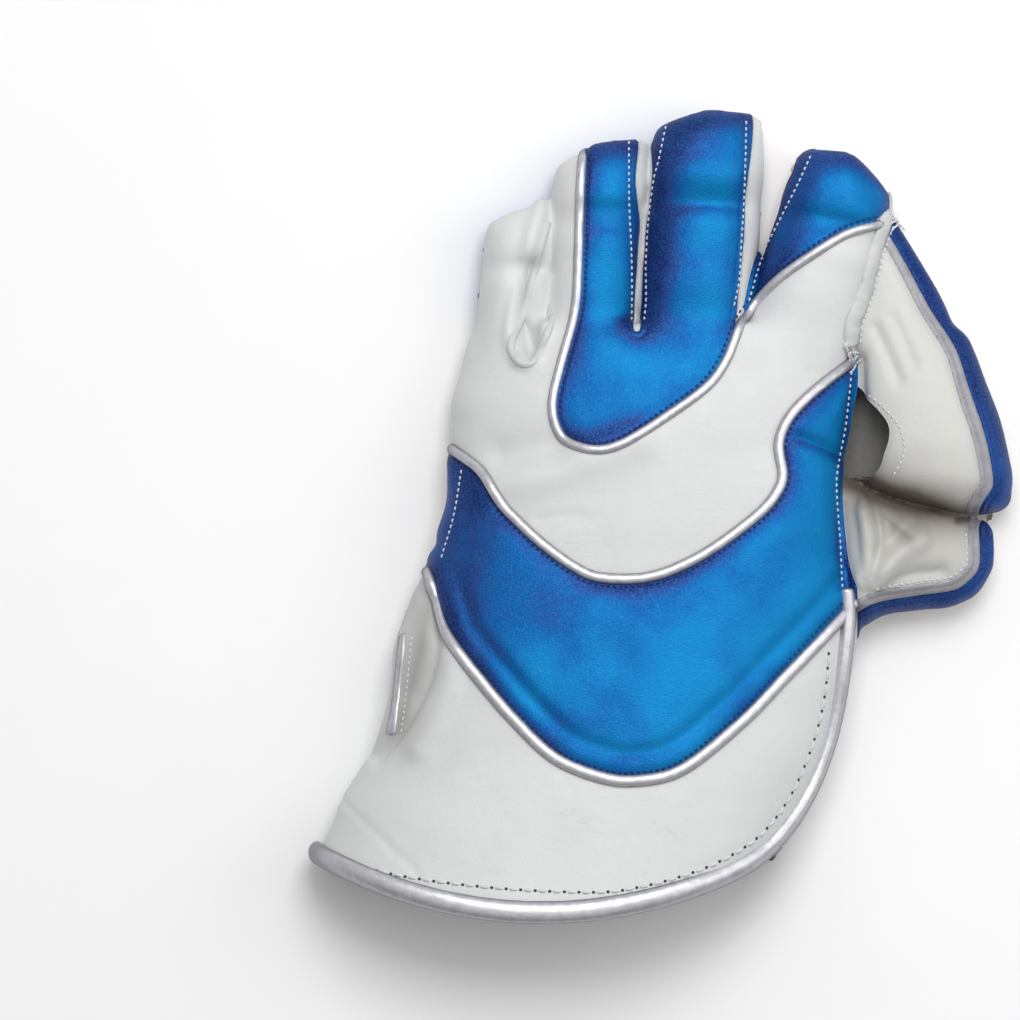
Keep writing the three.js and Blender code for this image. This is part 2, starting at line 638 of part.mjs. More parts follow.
// Everything inside the outer edge of the thumb base, from inset within it.
function insideBase(inset) {
  const rows = thumbBaseRows.filter((row) => row.out > 0);
  const widest = baseSide() + rows[rows.length - 1].out * thumbReach - inset;
  const at = (out, y) => new THREE.Vector2(Math.min(baseSide() + out * thumbReach, widest), y);
  const low = rows.map((row) => at(row.out, baseY(row.low) + inset));
  const high = rows.map((row) => at(row.out, baseY(row.high) + thumbReach)).reverse();
  return region([at(-1, low[0].y), ...low, ...high, at(-1, high[high.length - 1].y)], 0);
}

const innerEdge = bandWidth + gap;
const onUpper = onThumb.intersect(aboveFold);
const onBase = onThumb.intersect(belowFold);
const upperTrim = outsideThumb(innerEdge + trimWidth).subtract(outsideThumb(innerEdge));
const baseTrim = insideBase(innerEdge).subtract(insideBase(innerEdge + trimWidth));
addPiece("thumb_band", onUpper.intersect(outsideThumb(bandWidth)), blue);
addPiece("thumb_trim", onUpper.intersect(upperTrim), grey);
addPiece("thumb_base_band", onBase.subtract(insideBase(bandWidth)), blue);
addPiece("thumb_base_trim", onBase.intersect(baseTrim), grey);

// Raised seams.
addPiece("web_seam", laidCord(webSeamLine, webSeamRadius).subtract(lifted), white);
addPiece("little_finger_seam", laidCord(littleSeamLine, seamRadius).subtract(lifted), white);

// The plan middle of the glove comes to the origin.
const centre = new THREE.Box3().setFromObject(part).getCenter(new THREE.Vector3());
part.children.forEach((piece) => piece.position.set(-centre.x, -centre.y, 0));

export default part;
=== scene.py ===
# %% [markdown]
# # A wicketkeeping glove in leather and rubber
# A keeper's glove is sewn from many pieces, but the pieces lie on one smooth form: a hand with a flared
# cuff, four stalls and a thumb. The form could be sculpted by hand, or every piece could be shaped by
# itself. Here the form comes first, from short tables of cross-sections. Seam lines then cut it into
# pieces of leather and rubber, so neighbours share an edge and meet as sewn leather does.

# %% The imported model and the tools
import math

import bmesh
import bpy
import numpy as np
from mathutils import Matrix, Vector
from mathutils.bvhtree import BVHTree
from mathutils.kdtree import KDTree


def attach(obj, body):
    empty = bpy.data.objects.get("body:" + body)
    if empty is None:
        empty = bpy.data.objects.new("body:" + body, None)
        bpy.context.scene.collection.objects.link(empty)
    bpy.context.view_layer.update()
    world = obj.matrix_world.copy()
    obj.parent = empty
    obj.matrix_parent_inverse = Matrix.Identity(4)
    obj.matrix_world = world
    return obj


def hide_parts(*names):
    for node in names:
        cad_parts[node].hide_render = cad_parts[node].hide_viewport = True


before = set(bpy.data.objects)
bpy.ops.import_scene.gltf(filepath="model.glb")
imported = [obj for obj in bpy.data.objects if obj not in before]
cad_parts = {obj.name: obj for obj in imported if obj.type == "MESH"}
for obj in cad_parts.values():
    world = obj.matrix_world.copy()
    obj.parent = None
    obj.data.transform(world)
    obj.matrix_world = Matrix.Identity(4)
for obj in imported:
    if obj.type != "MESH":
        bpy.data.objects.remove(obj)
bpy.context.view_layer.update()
MM = 0.001
ORIGIN = np.array([-8.47, -17.05])  # where the middle of the wrist line lies in the frame, in mm

# %% [markdown]
# ## Sections
# A loft needs only a few measured sections. Between them a smooth curve through the table gives as many
# rings as wanted. The tables hold shares of a few real sizes in millimetres, so the form can be read and
# changed. Straight interpolation would show a kink at every row, so a cubic one is used.

# %% Sizes and section tables
PALM = 100.0  # wrist line to finger roots
CUFF = 142.0  # wrist line to the lowest point of the hem
WRIST = 169.0 / 2  # half the width at the wrist line
WRIST_TOP = 46.0
FINGER_LENGTH = 103.0
FINGER_WIDTH = 46.0
FINGER_TOP = 32.0
REACH = 65.0  # side of the hand to the outermost point of the thumb
THUMB_TOP = 34.0
SEAM = 10.0  # height of the seam between back and palm
SOLE = 1.2  # the sheet of rubber lies this high, on its pimples
SUNK = 1.5  # the tubes start this far below the sole, and what lies under it is raised to it
TIP_LIFT = 5.5  # the underside of a fingertip, above where its tube starts
CUFF_LIFT = 3.0
HEM_SET_BACK = 8.0
MOUTH = 14.0  # the tube of the hand runs on past the hem, and is cut there
VOXEL = 1.5

HAND_ROWS = np.array([
    # along, centre, half width, top, bow of the ring
    (-0.845, -0.470, 1.075, 1.38, 0.160),
    (-0.760, -0.372, 1.100, 1.33, 0.136),
    (-0.676, -0.310, 1.110, 1.28, 0.114),
    (-0.605, -0.247, 1.098, 1.24, 0.096),
    (-0.535, -0.190, 1.085, 1.20, 0.079),
    (-0.465, -0.150, 1.081, 1.165, 0.062),
    (-0.394, -0.117, 1.080, 1.13, 0.046),
    (-0.320, -0.092, 1.090, 1.10, 0.032),
    (-0.254, -0.077, 1.097, 1.07, 0.019),
    (-0.185, -0.048, 1.084, 1.045, 0.008),
    (-0.113, -0.025, 1.068, 1.02, 0.000),
    (0.000, 0.000, 1.000, 1.00, 0.0),
    (0.120, 0.022, 0.970, 0.995, 0.0),
    (0.240, 0.040, 0.946, 0.98, 0.0),
    (0.340, 0.042, 0.945, 0.965, 0.0),
    (0.440, 0.040, 0.946, 0.945, 0.0),
    (0.540, 0.050, 0.950, 0.92, 0.0),
    (0.640, 0.057, 0.953, 0.89, 0.0),
    (0.740, 0.078, 0.938, 0.84, 0.0),
    (0.840, 0.092, 0.922, 0.79, 0.0),
    (0.900, 0.098, 0.905, 0.755, 0.0),
    (0.945, 0.100, 0.860, 0.72, 0.0),
])
FINGERS = [
    # name, across and along of the root, lean in degrees, length, half width at root and tip, height,
    # how far the left and right corner of the tip lie back, in mm
    ("index", 0.67, 0.76, 15.5, 0.871, 0.50, 0.44, 0.96, 2.5, 10.0),
    ("middle", 0.165, 0.76, 4.4, 1.010, 0.535, 0.48, 1.00, 7.0, 0.0),
    ("ring", -0.37, 0.76, 4.8, 0.887, 0.40, 0.415, 0.95, 9.0, -3.0),
    ("little", -0.74, 0.72, 4.0, 0.663, 0.335, 0.295, 0.86, 5.0, -5.0),
]
FINGER_ROWS = np.array([
    # along, half, top
    (0.00, 0.94, 1.02),
    (0.30, 1.00, 1.02),
    (0.48, 1.00, 0.985),
    (0.58, 1.00, 0.975),
    (0.66, 0.985, 0.915),
    (0.76, 1.00, 0.955),
    (0.84, 0.99, 0.93),
    (0.90, 0.975, 0.88),
    (0.95, 0.94, 0.80),
    (0.98, 0.89, 0.71),
    (1.00, 0.80, 0.60),
])
THUMB_ROWS = np.array([
    # along, inner, outer, inner top, outer top
    (0.175, 0.16, 0.84, 0.58, 0.62),
    (0.205, 0.02, 0.95, 0.72, 0.82),
    (0.280, -0.05, 1.00, 0.86, 1.00),
    (0.400, -0.06, 0.99, 0.88, 1.03),
    (0.560, -0.06, 0.91, 0.84, 1.00),
    (0.720, -0.06, 0.80, 0.78, 0.92),
    (0.880, -0.04, 0.71, 0.70, 0.80),
    (1.040, 0.03, 0.61, 0.62, 0.66),
    (1.200, 0.10, 0.47, 0.56, 0.56),
    (1.360, 0.19, 0.32, 0.50, 0.48),
])
BASE_ROWS = np.array([
    # out, low, high, top
    (-0.12, -0.260, 0.34, 0.70),
    (-0.03, -0.268, 0.34, 0.80),
    (0.05, -0.268, 0.34, 0.98),
    (0.17, -0.225, 0.33, 1.00),
    (0.42, -0.196, 0.30, 0.90),
    (0.66, -0.172, 0.25, 0.78),
    (0.80, -0.110, 0.19, 0.64),
    (0.87, -0.030, 0.12, 0.48),
])


def through(rows, column, at):
    """A column of a table at any share, on a smooth curve through its rows."""
    xs, ys = rows[:, 0], rows[:, column]
    slopes = np.gradient(ys, xs)
    at = np.clip(at, xs[0], xs[-1])
    i = np.clip(np.searchsorted(xs, at, side="right") - 1, 0, len(xs) - 2)
    step = xs[i + 1] - xs[i]
    t = (at - xs[i]) / step
    start = (1 + 2 * t) * (1 - t) ** 2 * ys[i] + t * (1 - t) ** 2 * step * slopes[i]
    end = t**2 * (3 - 2 * t) * ys[i + 1] + t**2 * (t - 1) * step * slopes[i + 1]
    return start + end


def along_to_y(along):
    return np.where(np.asarray(along) > 0, PALM, CUFF) * along


def plan(shares):
    """Points of the plan, in mm, from across and along shares of the hand."""
    across, along = np.asarray(shares, float).T
    centre = through(HAND_ROWS, 1, along) * WRIST
    half = through(HAND_ROWS, 2, along) * WRIST
    bow = through(HAND_ROWS, 4, along) * CUFF
    y = along_to_y(along) - bow * np.maximum(0, 1 - across**2)
    return np.column_stack([centre + across * half, y]) + ORIGIN


def side_at(along):
    return plan([(1.0, along)])[0][0]


print("wrist is", round(2 * WRIST), "mm wide, the side of the hand at x", round(side_at(0.0), 1))

# %% [markdown]
# ## Rings and tubes
# Each limb is a tube of rounded-square rings. A superellipse is flatter on the back than a circle, as a
# padded stall is, and its power sets how square it is. The palm side is squarer than the back. A ring is
# worked out once from -1 to 1, and each limb says where such a share lies.

# %% Rings and tubes
ARCH = 2.4  # the power of the back
FLAT = 3.6  # the power of the palm side


def ring(count, place):
    """Points round a ring. place gives the point for a share across and a share up."""
    turn = np.linspace(0, 2 * np.pi, count, endpoint=False)
    power = 2 / np.where(turn <= np.pi, ARCH, FLAT)
    across = np.sign(np.cos(turn)) * np.abs(np.cos(turn)) ** power
    up = np.sign(np.sin(turn)) * np.abs(np.sin(turn)) ** power
    return np.array([place(a, u) for a, u in zip(across, up)])


def level(up, low, top):
    """The height for a share up, where 0 is the seam between back and palm."""
    seam = min(SEAM, (low + top) / 2)
    return seam + up * (top - seam if up > 0 else seam - low)


def tube(rings):
    """Points and faces of a skin round the rings, closed at both ends."""
    count, last = len(rings[0]), len(rings) - 1
    verts = np.concatenate([*rings, [np.mean(rings[0], 0)], [np.mean(rings[-1], 0)]])
    faces = []
    for i in range(last):
        for j in range(count):
            a, b = i * count + j, i * count + (j + 1) % count
            faces.append((a, b, b + count, a + count))
    start, end = len(verts) - 2, len(verts) - 1
    for j in range(count):
        k = (j + 1) % count
        faces.append((start, k, j))
        faces.append((end, last * count + j, last * count + k))
    return verts, faces


print("a ring's corners:", ring(4, lambda a, u: (round(float(a), 2), round(float(u), 2))).tolist())

# %% [markdown]
# ## Hand, fingers and thumb
# Every limb reads its sections from its own table. The cuff's rings bow towards the hem, which makes the
# hem a curve on the plan. The corners of a fingertip lie back by a few millimetres, as the seams pull
# them, and its underside lifts off the table.

# %% Tubes of the limbs
HAND_SIDES, LIMB_SIDES = 96, 48


def hand_tube():
    rings = []
    start, end = HAND_ROWS[0, 0], HAND_ROWS[-1, 0]
    for along in np.concatenate([[start - MOUTH / CUFF], np.linspace(start, end, 90)]):
        centre, half, top, bow = (float(through(HAND_ROWS, k, along)) for k in (1, 2, 3, 4))
        cuff = np.clip((-along - 0.03) / 0.09, 0, 1)
        low = SOLE - SUNK + (CUFF_LIFT - SOLE + SUNK) * cuff * cuff * (3 - 2 * cuff)
        y = float(along_to_y(along))

        def place(a, u):
            x = centre * WRIST + a * half * WRIST + ORIGIN[0]
            bowed = y - bow * CUFF * (1 - a * a) + ORIGIN[1]
            return (x, bowed, level(u, low, top * WRIST_TOP))

        rings.append(ring(HAND_SIDES, place))
    return tube(rings)


def finger_tube(finger):
    _, across, root_along, lean, length, half_root, half_tip, height, left, right = finger
    root = plan([(across, root_along)])[0]
    lean = math.radians(lean)
    forward = np.array([math.sin(lean), math.cos(lean)])
    side = np.array([forward[1], -forward[0]])
    rings = []
    for along in np.concatenate([np.linspace(0, 0.9, 40), np.linspace(0.91, 1, 10)]):
        at = root + forward * along * (length * FINGER_LENGTH)
        half = (half_root + (half_tip - half_root) * along) * through(FINGER_ROWS, 1, along) * FINGER_WIDTH
        top = height * through(FINGER_ROWS, 2, along) * FINGER_TOP
        low = SOLE - SUNK + TIP_LIFT * np.clip((along - 0.8) / 0.2, 0, 1) ** 2

        def place(a, u):
            dropped = forward * (right if a > 0 else left) * abs(a) ** 1.3 * along**5
            return (*(at + side * a * half - dropped), level(u, low, top))

        rings.append(ring(LIMB_SIDES, place))
    return tube(rings)


def thumb_tube():
    rings = []
    for along in np.linspace(THUMB_ROWS[0, 0], THUMB_ROWS[-1, 0], 70):
        inner, outer = (side_at(along) + through(THUMB_ROWS, k, along) * REACH for k in (1, 2))
        tops = [through(THUMB_ROWS, k, along) * THUMB_TOP for k in (3, 4)]
        y = float(along_to_y(along)) + ORIGIN[1]

        def place(a, u):
            top = tops[0] + (tops[1] - tops[0]) * (a + 1) / 2
            return ((inner + outer) / 2 + a * (outer - inner) / 2, y, level(u, SOLE - SUNK, top))

        rings.append(ring(LIMB_SIDES, place))
    return tube(rings)


def base_tube():
    rings = []
    for out in np.linspace(BASE_ROWS[0, 0], BASE_ROWS[-1, 0], 40):
        low, high, top = (float(through(BASE_ROWS, k, out)) for k in (1, 2, 3))
        x = side_at(0.0) + out * REACH
        middle = (low + high) / 2 * PALM + ORIGIN[1]
        half = (high - low) / 2 * PALM

        def place(a, u):
            return (x, middle - a * half, level(u, SOLE - SUNK, top * THUMB_TOP))

        rings.append(ring(LIMB_SIDES, place))
    return tube(rings)


tubes = [hand_tube(), *[finger_tube(f) for f in FINGERS], thumb_tube(), base_tube()]
print(len(tubes), "tubes with", sum(len(verts) for verts, _ in tubes), "points")

# %% [markdown]
# ## One skin
# The tubes overlap where limbs meet. A boolean would leave hard creases there, so they are joined by a
# voxel remesh instead, which makes one even skin of small squares.

# %% One skin
def joined_mesh(name, tubes):
    verts, faces = [], []
    for tube_verts, tube_faces in tubes:
        first = sum(map(len, verts))
        faces += [tuple(i + first for i in face) for face in tube_faces]
        verts.append(tube_verts)
    mesh = bpy.data.meshes.new(name)
    mesh.from_pydata((np.concatenate(verts) * MM).tolist(), [], faces)
    return mesh


def outward(mesh):
    """Turns all faces of a mesh so that they look outwards."""
    bm = bmesh.new()
    bm.from_mesh(mesh)
    bmesh.ops.recalc_face_normals(bm, faces=bm.faces)
    bm.to_mesh(mesh)
    bm.free()


def remeshed(mesh, voxel):
    obj = bpy.data.objects.new("form", mesh)
    bpy.context.scene.collection.objects.link(obj)
    remesh = obj.modifiers.new("even skin", "REMESH")
    remesh.mode = "VOXEL"
    remesh.voxel_size = voxel * MM
    result = bpy.data.meshes.new_from_object(obj.evaluated_get(bpy.context.evaluated_depsgraph_get()))
    bpy.data.objects.remove(obj)
    return result


rough_form = joined_mesh("form", tubes)
outward(rough_form)
form = remeshed(rough_form, VOXEL)
print("the form has", len(form.vertices), "points")

# %% [markdown]
# ## Easing the joins
# A voxel skin is slightly stepped and has sharp valleys between the limbs. Moving each point towards the
# mean of its neighbours, again and again, rounds both away. It also shrinks thin parts a little, so each
# round is followed by a step outwards. Numpy does it for all points at once. Where the fingers run into
# the hand the padding is even thicker, so that band is smoothed some more.

# %% Smoothing
ROOT_LINE = 93.0  # where the fingers start, above the wrist line
ROOT_WIDTH, ROOT_HEIGHT = 9, 18  # how far from that line, and above which height, they are eased
SLITS = [-39.0, -2.5, 42.0]  # between the fingers, from the middle of the wrist line
ROUNDS, ROOT_ROUNDS = 14, 80
TOWARDS_MEAN, OUTWARD_AGAIN = 0.6, -0.61  # shares of the way to the mean of the neighbours


def mesh_arrays(mesh):
    points = np.empty(3 * len(mesh.vertices))
    mesh.vertices.foreach_get("co", points)
    edges = np.empty(2 * len(mesh.edges), int)
    mesh.edges.foreach_get("vertices", edges)
    return points.reshape(-1, 3) / MM, edges.reshape(-1, 2)


def mean_of_neighbours(values, edges):
    total = np.zeros_like(values)
    count = np.bincount(edges.ravel(), minlength=len(values)).astype(float)
    np.add.at(total, edges[:, 0], values[edges[:, 1]])
    np.add.at(total, edges[:, 1], values[edges[:, 0]])
    return total / np.maximum(count, 1).reshape(-1, *[1] * (values.ndim - 1))


def smoothed(points, edges, rounds):
    for _ in range(rounds):
        for step in (TOWARDS_MEAN, OUTWARD_AGAIN):
            points = points + step * (mean_of_neighbours(points, edges) - points)
    return points


def set_points(mesh, points):
    mesh.vertices.foreach_set("co", (points * MM).ravel())
    mesh.update()


def near_roots(points):
    """1 where the fingers run into the back of the hand, 0 elsewhere and at the slits between them."""
    x, y = (points[:, :2] - ORIGIN).T
    weight = np.exp(-(((y - ROOT_LINE) / ROOT_WIDTH) ** 2))
    weight *= np.clip((points[:, 2] - ROOT_HEIGHT) / 6, 0, 1)
    for slit in SLITS:
        weight *= np.clip((np.hypot(x - slit, np.maximum(0, ROOT_LINE - y)) - 1.5) / 3, 0, 1)
    return weight[:, None]


points, edges = mesh_arrays(form)
points = smoothed(points, edges, ROUNDS)
for _ in range(ROOT_ROUNDS):
    points = points + TOWARDS_MEAN * near_roots(points) * (mean_of_neighbours(points, edges) - points)
points[:, 2] = np.maximum(points[:, 2], SOLE)
set_points(form, points)
print("the form stands", round(points[:, 2].max(), 1), "mm high")

# %% [markdown]
# ## Lines on the plan
# Folds, seams, cuts and stitches all follow lines on the plan. A line is given by a few points, and a
# smooth curve goes through them. What lies near a line is found by the distance to it.

# %% Lines and distances
def distance_to_line(at, line):
    """Distance on the plan from each point to a line through plan points."""
    line = np.asarray(line, float)
    nearest = np.full(len(at), np.inf)
    for start, end in zip(line[:-1], line[1:]):
        along = end - start
        share = np.clip((at - start) @ along / (along @ along), 0, 1)
        nearest = np.minimum(nearest, np.linalg.norm(at - start - share[:, None] * along, axis=1))
    return nearest


def evenly(line, step):
    """Points along a line, about a step apart."""
    line = np.asarray(line, float)
    length = np.concatenate([[0], np.cumsum(np.linalg.norm(np.diff(line, axis=0), axis=1))])
    at = np.linspace(0, length[-1], max(2, round(length[-1] / step) + 1))
    return np.column_stack([np.interp(at, length, column) for column in line.T])


def curve_through(line, step=1.0):
    """Evenly spaced points on a smooth curve through plan points."""
    line = np.asarray(line, float)
    padded = np.vstack([2 * line[0] - line[1], line, 2 * line[-1] - line[-2]])
    t = np.linspace(0, 1, 12, endpoint=False)[:, None]
    pieces = []
    for a, b, c, d in zip(padded, padded[1:], padded[2:], padded[3:]):
        bend = 2 * b + (c - a) * t + (2 * a - 5 * b + 4 * c - d) * t**2 + (3 * b - a - 3 * c + d) * t**3
        pieces.append(bend / 2)
    return evenly(np.vstack([*pieces, line[-1:]]), step)


def mesh_normals(mesh):
    normals = np.empty(3 * len(mesh.vertices))
    mesh.vertex_normals.foreach_get("vector", normals)
    return normals.reshape(-1, 3)


print("a curve through three points has", len(curve_through([(0, 0), (10, 4), (20, 0)])), "points")

# %% [markdown]
# ## Folds and dents
# Soft leather keeps the marks of the hand: creases over the knuckles, a dent below the little finger and
# a deep fold where the thumb lies over its base. Each one is a stroke on the plan with a width and a
# rise. Points near it move along their normals, most of all on the line itself. The thumb's fold is
# deeper and steeper on its upper side, so it is worked out apart from the strokes.

# %% Strokes on the form
FOLDS = [
    # width and rise in mm, line on the plan from the middle of the wrist line
    (3.6, -0.9, [(5, 140), (23, 143), (40, 142)]),
    (9.0, 1.0, [(6, 154), (40, 155)]),
    (10.0, 0.9, [(8, 112), (38, 112)]),
    (3.4, -0.7, [(-23, 142), (-2, 141)]),
    (3.4, -0.8, [(62, 139), (85, 136)]),
    (2.2, 2.4, [(-40, 143), (-43, 134), (-45, 126), (-47, 118), (-48, 112), (-52, 96), (-52, 86), (-49, 80)]),
    (2.2, 2.4, [(-49, 80), (-45, 78), (-41, 82), (-39, 92), (-38, 104), (-37, 112)]),
    (5.0, -6.5, [(-44, 116), (-45, 106), (-46, 92), (-45, 86)]),
    (8.0, -3.2, [(-56, 42), (-36, 44)]),
    (8.0, 2.6, [(-57, 30), (-29, 38), (-1, 48)]),
    (1.5, -0.6, [(-41, 16), (-25, 19)]),
    (1.4, -0.5, [(-37, 12), (-21, 17)]),
    (2.4, -1.3, [(94, 93), (99, 82), (103, 72)]),
    (2.0, -0.9, [(101, 97), (106, 86), (109, 78)]),
    (3.0, -2.0, [(63, 49), (79, 42)]),
    (0.9, -0.6, [(-120, -96), (-105, -110), (-94, -120), (-89, -126)]),
    (0.8, -0.4, [(-102, -112), (-99, -119)]),
    (11.0, -2.0, [(39, 74), (47, 46)]),
    (3.4, -4.0, [(86, 33), (86, 48), (87, 64), (87, 80)]),
    (2.0, -1.6, [(85, 32), (86, 20), (87, 8), (88, 0), (90, -14)]),
    (3.0, -3.4, [(-84, -14), (-82, -34), (-86, -50), (-96, -68), (-106, -79)]),
    (6.0, 2.6, [(-76, -40), (-79, -55), (-89, -75)]),
    (5.0, -1.6, [(-88, -38), (-92, -52)]),
    (1.7, -3.0, [(89, 30), (93, 23), (95.5, 12), (95, 2), (92, -8), (89, -14)]),
    (2.4, 1.4, [(88, 20), (90, 10), (90, 0), (88, -8)]),
    (4.0, 2.6, [(92, -12), (100, 0), (112, 8)]),
    (3.5, -2.6, [(95, -14), (106, -7), (120, -5)]),
    (3.8, -2.8, [(97, 3), (104, 12), (110, 18)]),
]
FOLD_LINE = [
    (60, 38), (79, 34), (87, 32), (95, 28), (103, 25), (111, 23), (119, 21), (127, 19), (135, 18), (145, 19),
    (170, 22),
]
FOLD_DEPTH = 12.0
FOLD_START = 82.0  # it begins here, right of the middle of the wrist line
UPPER_SIDE, LOWER_SIDE = 1.6, 7.0  # how far the fold fades out on its two sides

upward = mesh_normals(form)
on_top = np.clip((points[:, 2] - SEAM * 0.8) / 6, 0, 1)
for width, rise, line in FOLDS:
    away = distance_to_line(points[:, :2] - ORIGIN, curve_through(line))
    points = points + upward * (rise * np.exp(-((away / width) ** 2)) * on_top)[:, None]
fold_at = curve_through(FOLD_LINE)
fold_y = np.interp(points[:, 0] - ORIGIN[0], fold_at[:, 0], fold_at[:, 1]) + ORIGIN[1]
past_fold = points[:, 1] - fold_y
reaches = np.clip((points[:, 0] - ORIGIN[0] - FOLD_START) / 8, 0, 1) * np.clip((points[:, 2] - 9) / 10, 0, 1)
valley = np.where(past_fold > 0, np.exp(-past_fold / UPPER_SIDE), np.exp(past_fold / LOWER_SIDE))
points[:, 2] -= FOLD_DEPTH * valley * reaches
points = smoothed(points, edges, 3)
set_points(form, points)
print(len(FOLDS), "folds and dents, and the fold of the thumb")

# %% [markdown]
# ## Seam lines
# The cutter's patterns are outlines on the plan of the hand. They are written as shares across and along
# it, so that a line keeps its place when a size changes. A panel is the part of the skin inside its
# outline.

# %% Seam lines
PIPING_LINE = [
    (-0.43, 1.66), (-0.45, 1.48), (-0.46, 1.24), (-0.48, 1.0), (-0.5, 0.78), (-0.5, 0.62), (-0.46, 0.51),
    (-0.38, 0.46), (-0.26, 0.44), (-0.13, 0.47), (0.06, 0.57), (0.25, 0.69), (0.33, 0.79), (0.37, 0.87),
    (0.45, 0.97), (0.58, 1.08), (0.72, 1.17), (0.97, 1.29), (1.1, 1.33), (1.21, 1.35),
]
INDEX_FOOT = 14  # from this point on, the piping borders the panel of the index finger
INDEX_TIPS = [
    (1.16, 1.35), (1.29, 1.48), (1.16, 1.75), (0.75, 1.75), (0.74, 1.58), (0.67, 1.48), (0.6, 1.36),
    (0.54, 1.26), (0.49, 1.16), (0.45, 1.03),
]
FINGER_TIPS = [
    (0.41, 1.01), (0.43, 1.16), (0.445, 1.28), (0.455, 1.44), (0.465, 1.87), (-0.04, 1.87),
    (-0.05, 1.55), (-0.09, 1.28), (-0.12, 0.94), (-0.16, 0.94), (-0.14, 1.24), (-0.13, 1.36), (-0.15, 1.52),
    (-0.15, 1.75), (-0.43, 1.75),
]
WRIST_UPPER = [
    (-0.99, 0.45), (-0.85, 0.36), (-0.75, 0.24), (-0.69, 0.19), (-0.5, 0.07), (-0.31, -0.02), (-0.18, -0.05),
    (0.03, -0.05), (0.21, -0.01), (0.37, 0.07), (0.55, 0.19), (0.63, 0.27), (0.66, 0.34), (0.64, 0.46),
    (0.67, 0.56), (0.76, 0.65), (0.87, 0.73), (0.99, 0.81),
]
WRIST_LOWER = [
    (-0.99, -0.03), (-0.88, -0.11), (-0.77, -0.22), (-0.61, -0.32), (-0.44, -0.41), (-0.23, -0.49),
    (-0.01, -0.53), (0.15, -0.54), (0.34, -0.52), (0.55, -0.42), (0.69, -0.32), (0.83, -0.22), (0.98, -0.11),
]
THUMB_SEAM = [
    (103, 150), (98, 135), (93, 120), (89, 104), (87, 90), (87, 80), (87, 70), (85, 60), (83, 48), (81.5, 42),
    (80.5, 32), (81, 20), (82, 8), (83, 0), (85, -8), (86.5, -14), (87, -60),
]
WEB_SEAM = [(1.23, 1.38), (1.19, 1.3), (1.15, 1.2), (1.1, 1.06), (1.04, 0.95), (0.97, 0.86)]
SIDE_BINDING = [(-95.5, -30), (-96.5, -42), (-98, -56), (-100, -70)]
INSET = [
    (0.86, -0.2), (0.79, -0.36), (0.66, -0.53), (0.5, -0.64), (0.2, -0.66), (0.02, -0.55), (-0.2, -0.36),
    (-0.32, -0.2),
]
WEB_HOLE = [
    (78, 72), (88, 69), (91, 64), (95, 60), (99, 54), (99, 48), (97, 42), (96, 38), (93, 34), (91, 32),
    (78, 33),
]
PALM_HOLE_AT, PALM_HOLE_HALF = (78, 60), (5.5, 6.5)
FAR = 400.0  # farther than any point of the glove


def laid(shares, step=2.0):
    """A seam line on the table, in mm, smooth through its shares."""
    return curve_through(plan(shares), step)


def inside_of(outline):
    """A field that is negative inside a closed outline and grows with the distance from it."""
    outline = np.asarray(outline)

    def field(at):
        x, y = at[:, 0], at[:, 1]
        crossings = np.zeros(len(at), int)
        for (x0, y0), (x1, y1) in zip(outline, np.roll(outline, -1, axis=0)):
            rises = (y0 > y) != (y1 > y)
            with np.errstate(divide="ignore", invalid="ignore"):
                crossings += rises & (x < (x1 - x0) * (y - y0) / (y1 - y0) + x0)
        away = distance_to_line(at[:, :2], np.vstack([outline, outline[:1]]))
        return np.where(crossings % 2 == 1, -away, away)

    return field


def beside(line, left=True):
    """A field that is negative on one side of an open line, which is carried on far past both ends."""
    line = np.asarray(line, float)
    first = line[0] + (line[0] - line[1]) / np.linalg.norm(line[0] - line[1]) * FAR
    last = line[-1] + (line[-1] - line[-2]) / np.linalg.norm(line[-1] - line[-2]) * FAR
    middle = (first + last) / 2
    across = np.array([first[1] - last[1], last[0] - first[0]])
    beyond = middle + across / np.linalg.norm(across) * FAR * (3 if left else -3)
    return inside_of(np.vstack([first, line, last, beyond]))


piping_line = laid(PIPING_LINE)
upper_line, lower_line = laid(WRIST_UPPER), laid(WRIST_LOWER)
finger_outline = np.vstack([laid(PIPING_LINE[:INDEX_FOOT]), laid(FINGER_TIPS)])
index_outline = np.vstack([laid(PIPING_LINE[INDEX_FOOT:]), laid(INDEX_TIPS)])
wrist_outline = np.vstack([
    upper_line, plan([(1.2, 0.8), (1.2, -0.1)]), lower_line[::-1], plan([(-1.3, -0.02), (-1.3, 0.45)]),
])
upper_rows = THUMB_ROWS[THUMB_ROWS[:, 0] > 0.25]
thumb_edge = curve_through([
    (side_at(0.19) + 0.92 * REACH, 19 + ORIGIN[1]),
    *[(side_at(row[0]) + row[2] * REACH, float(along_to_y(row[0])) + ORIGIN[1]) for row in upper_rows],
])
print("the finger outline has", len(finger_outline), "points")

# %% [markdown]
# ## Cutting
# A seam rarely follows the little squares of a mesh. Where its line crosses an edge, the edge is split
# at that place and the new points are joined across the face, which gives a clean border. Points that
# already lie close to the line are moved onto it, so that few slivers are left.

# %% The cutter
skin = bmesh.new()
skin.from_mesh(form)
piece_of = skin.faces.layers.int.new("piece")
value_of = skin.verts.layers.float.new("value")
PIECES = ["hand_back"]
on_seam = set()


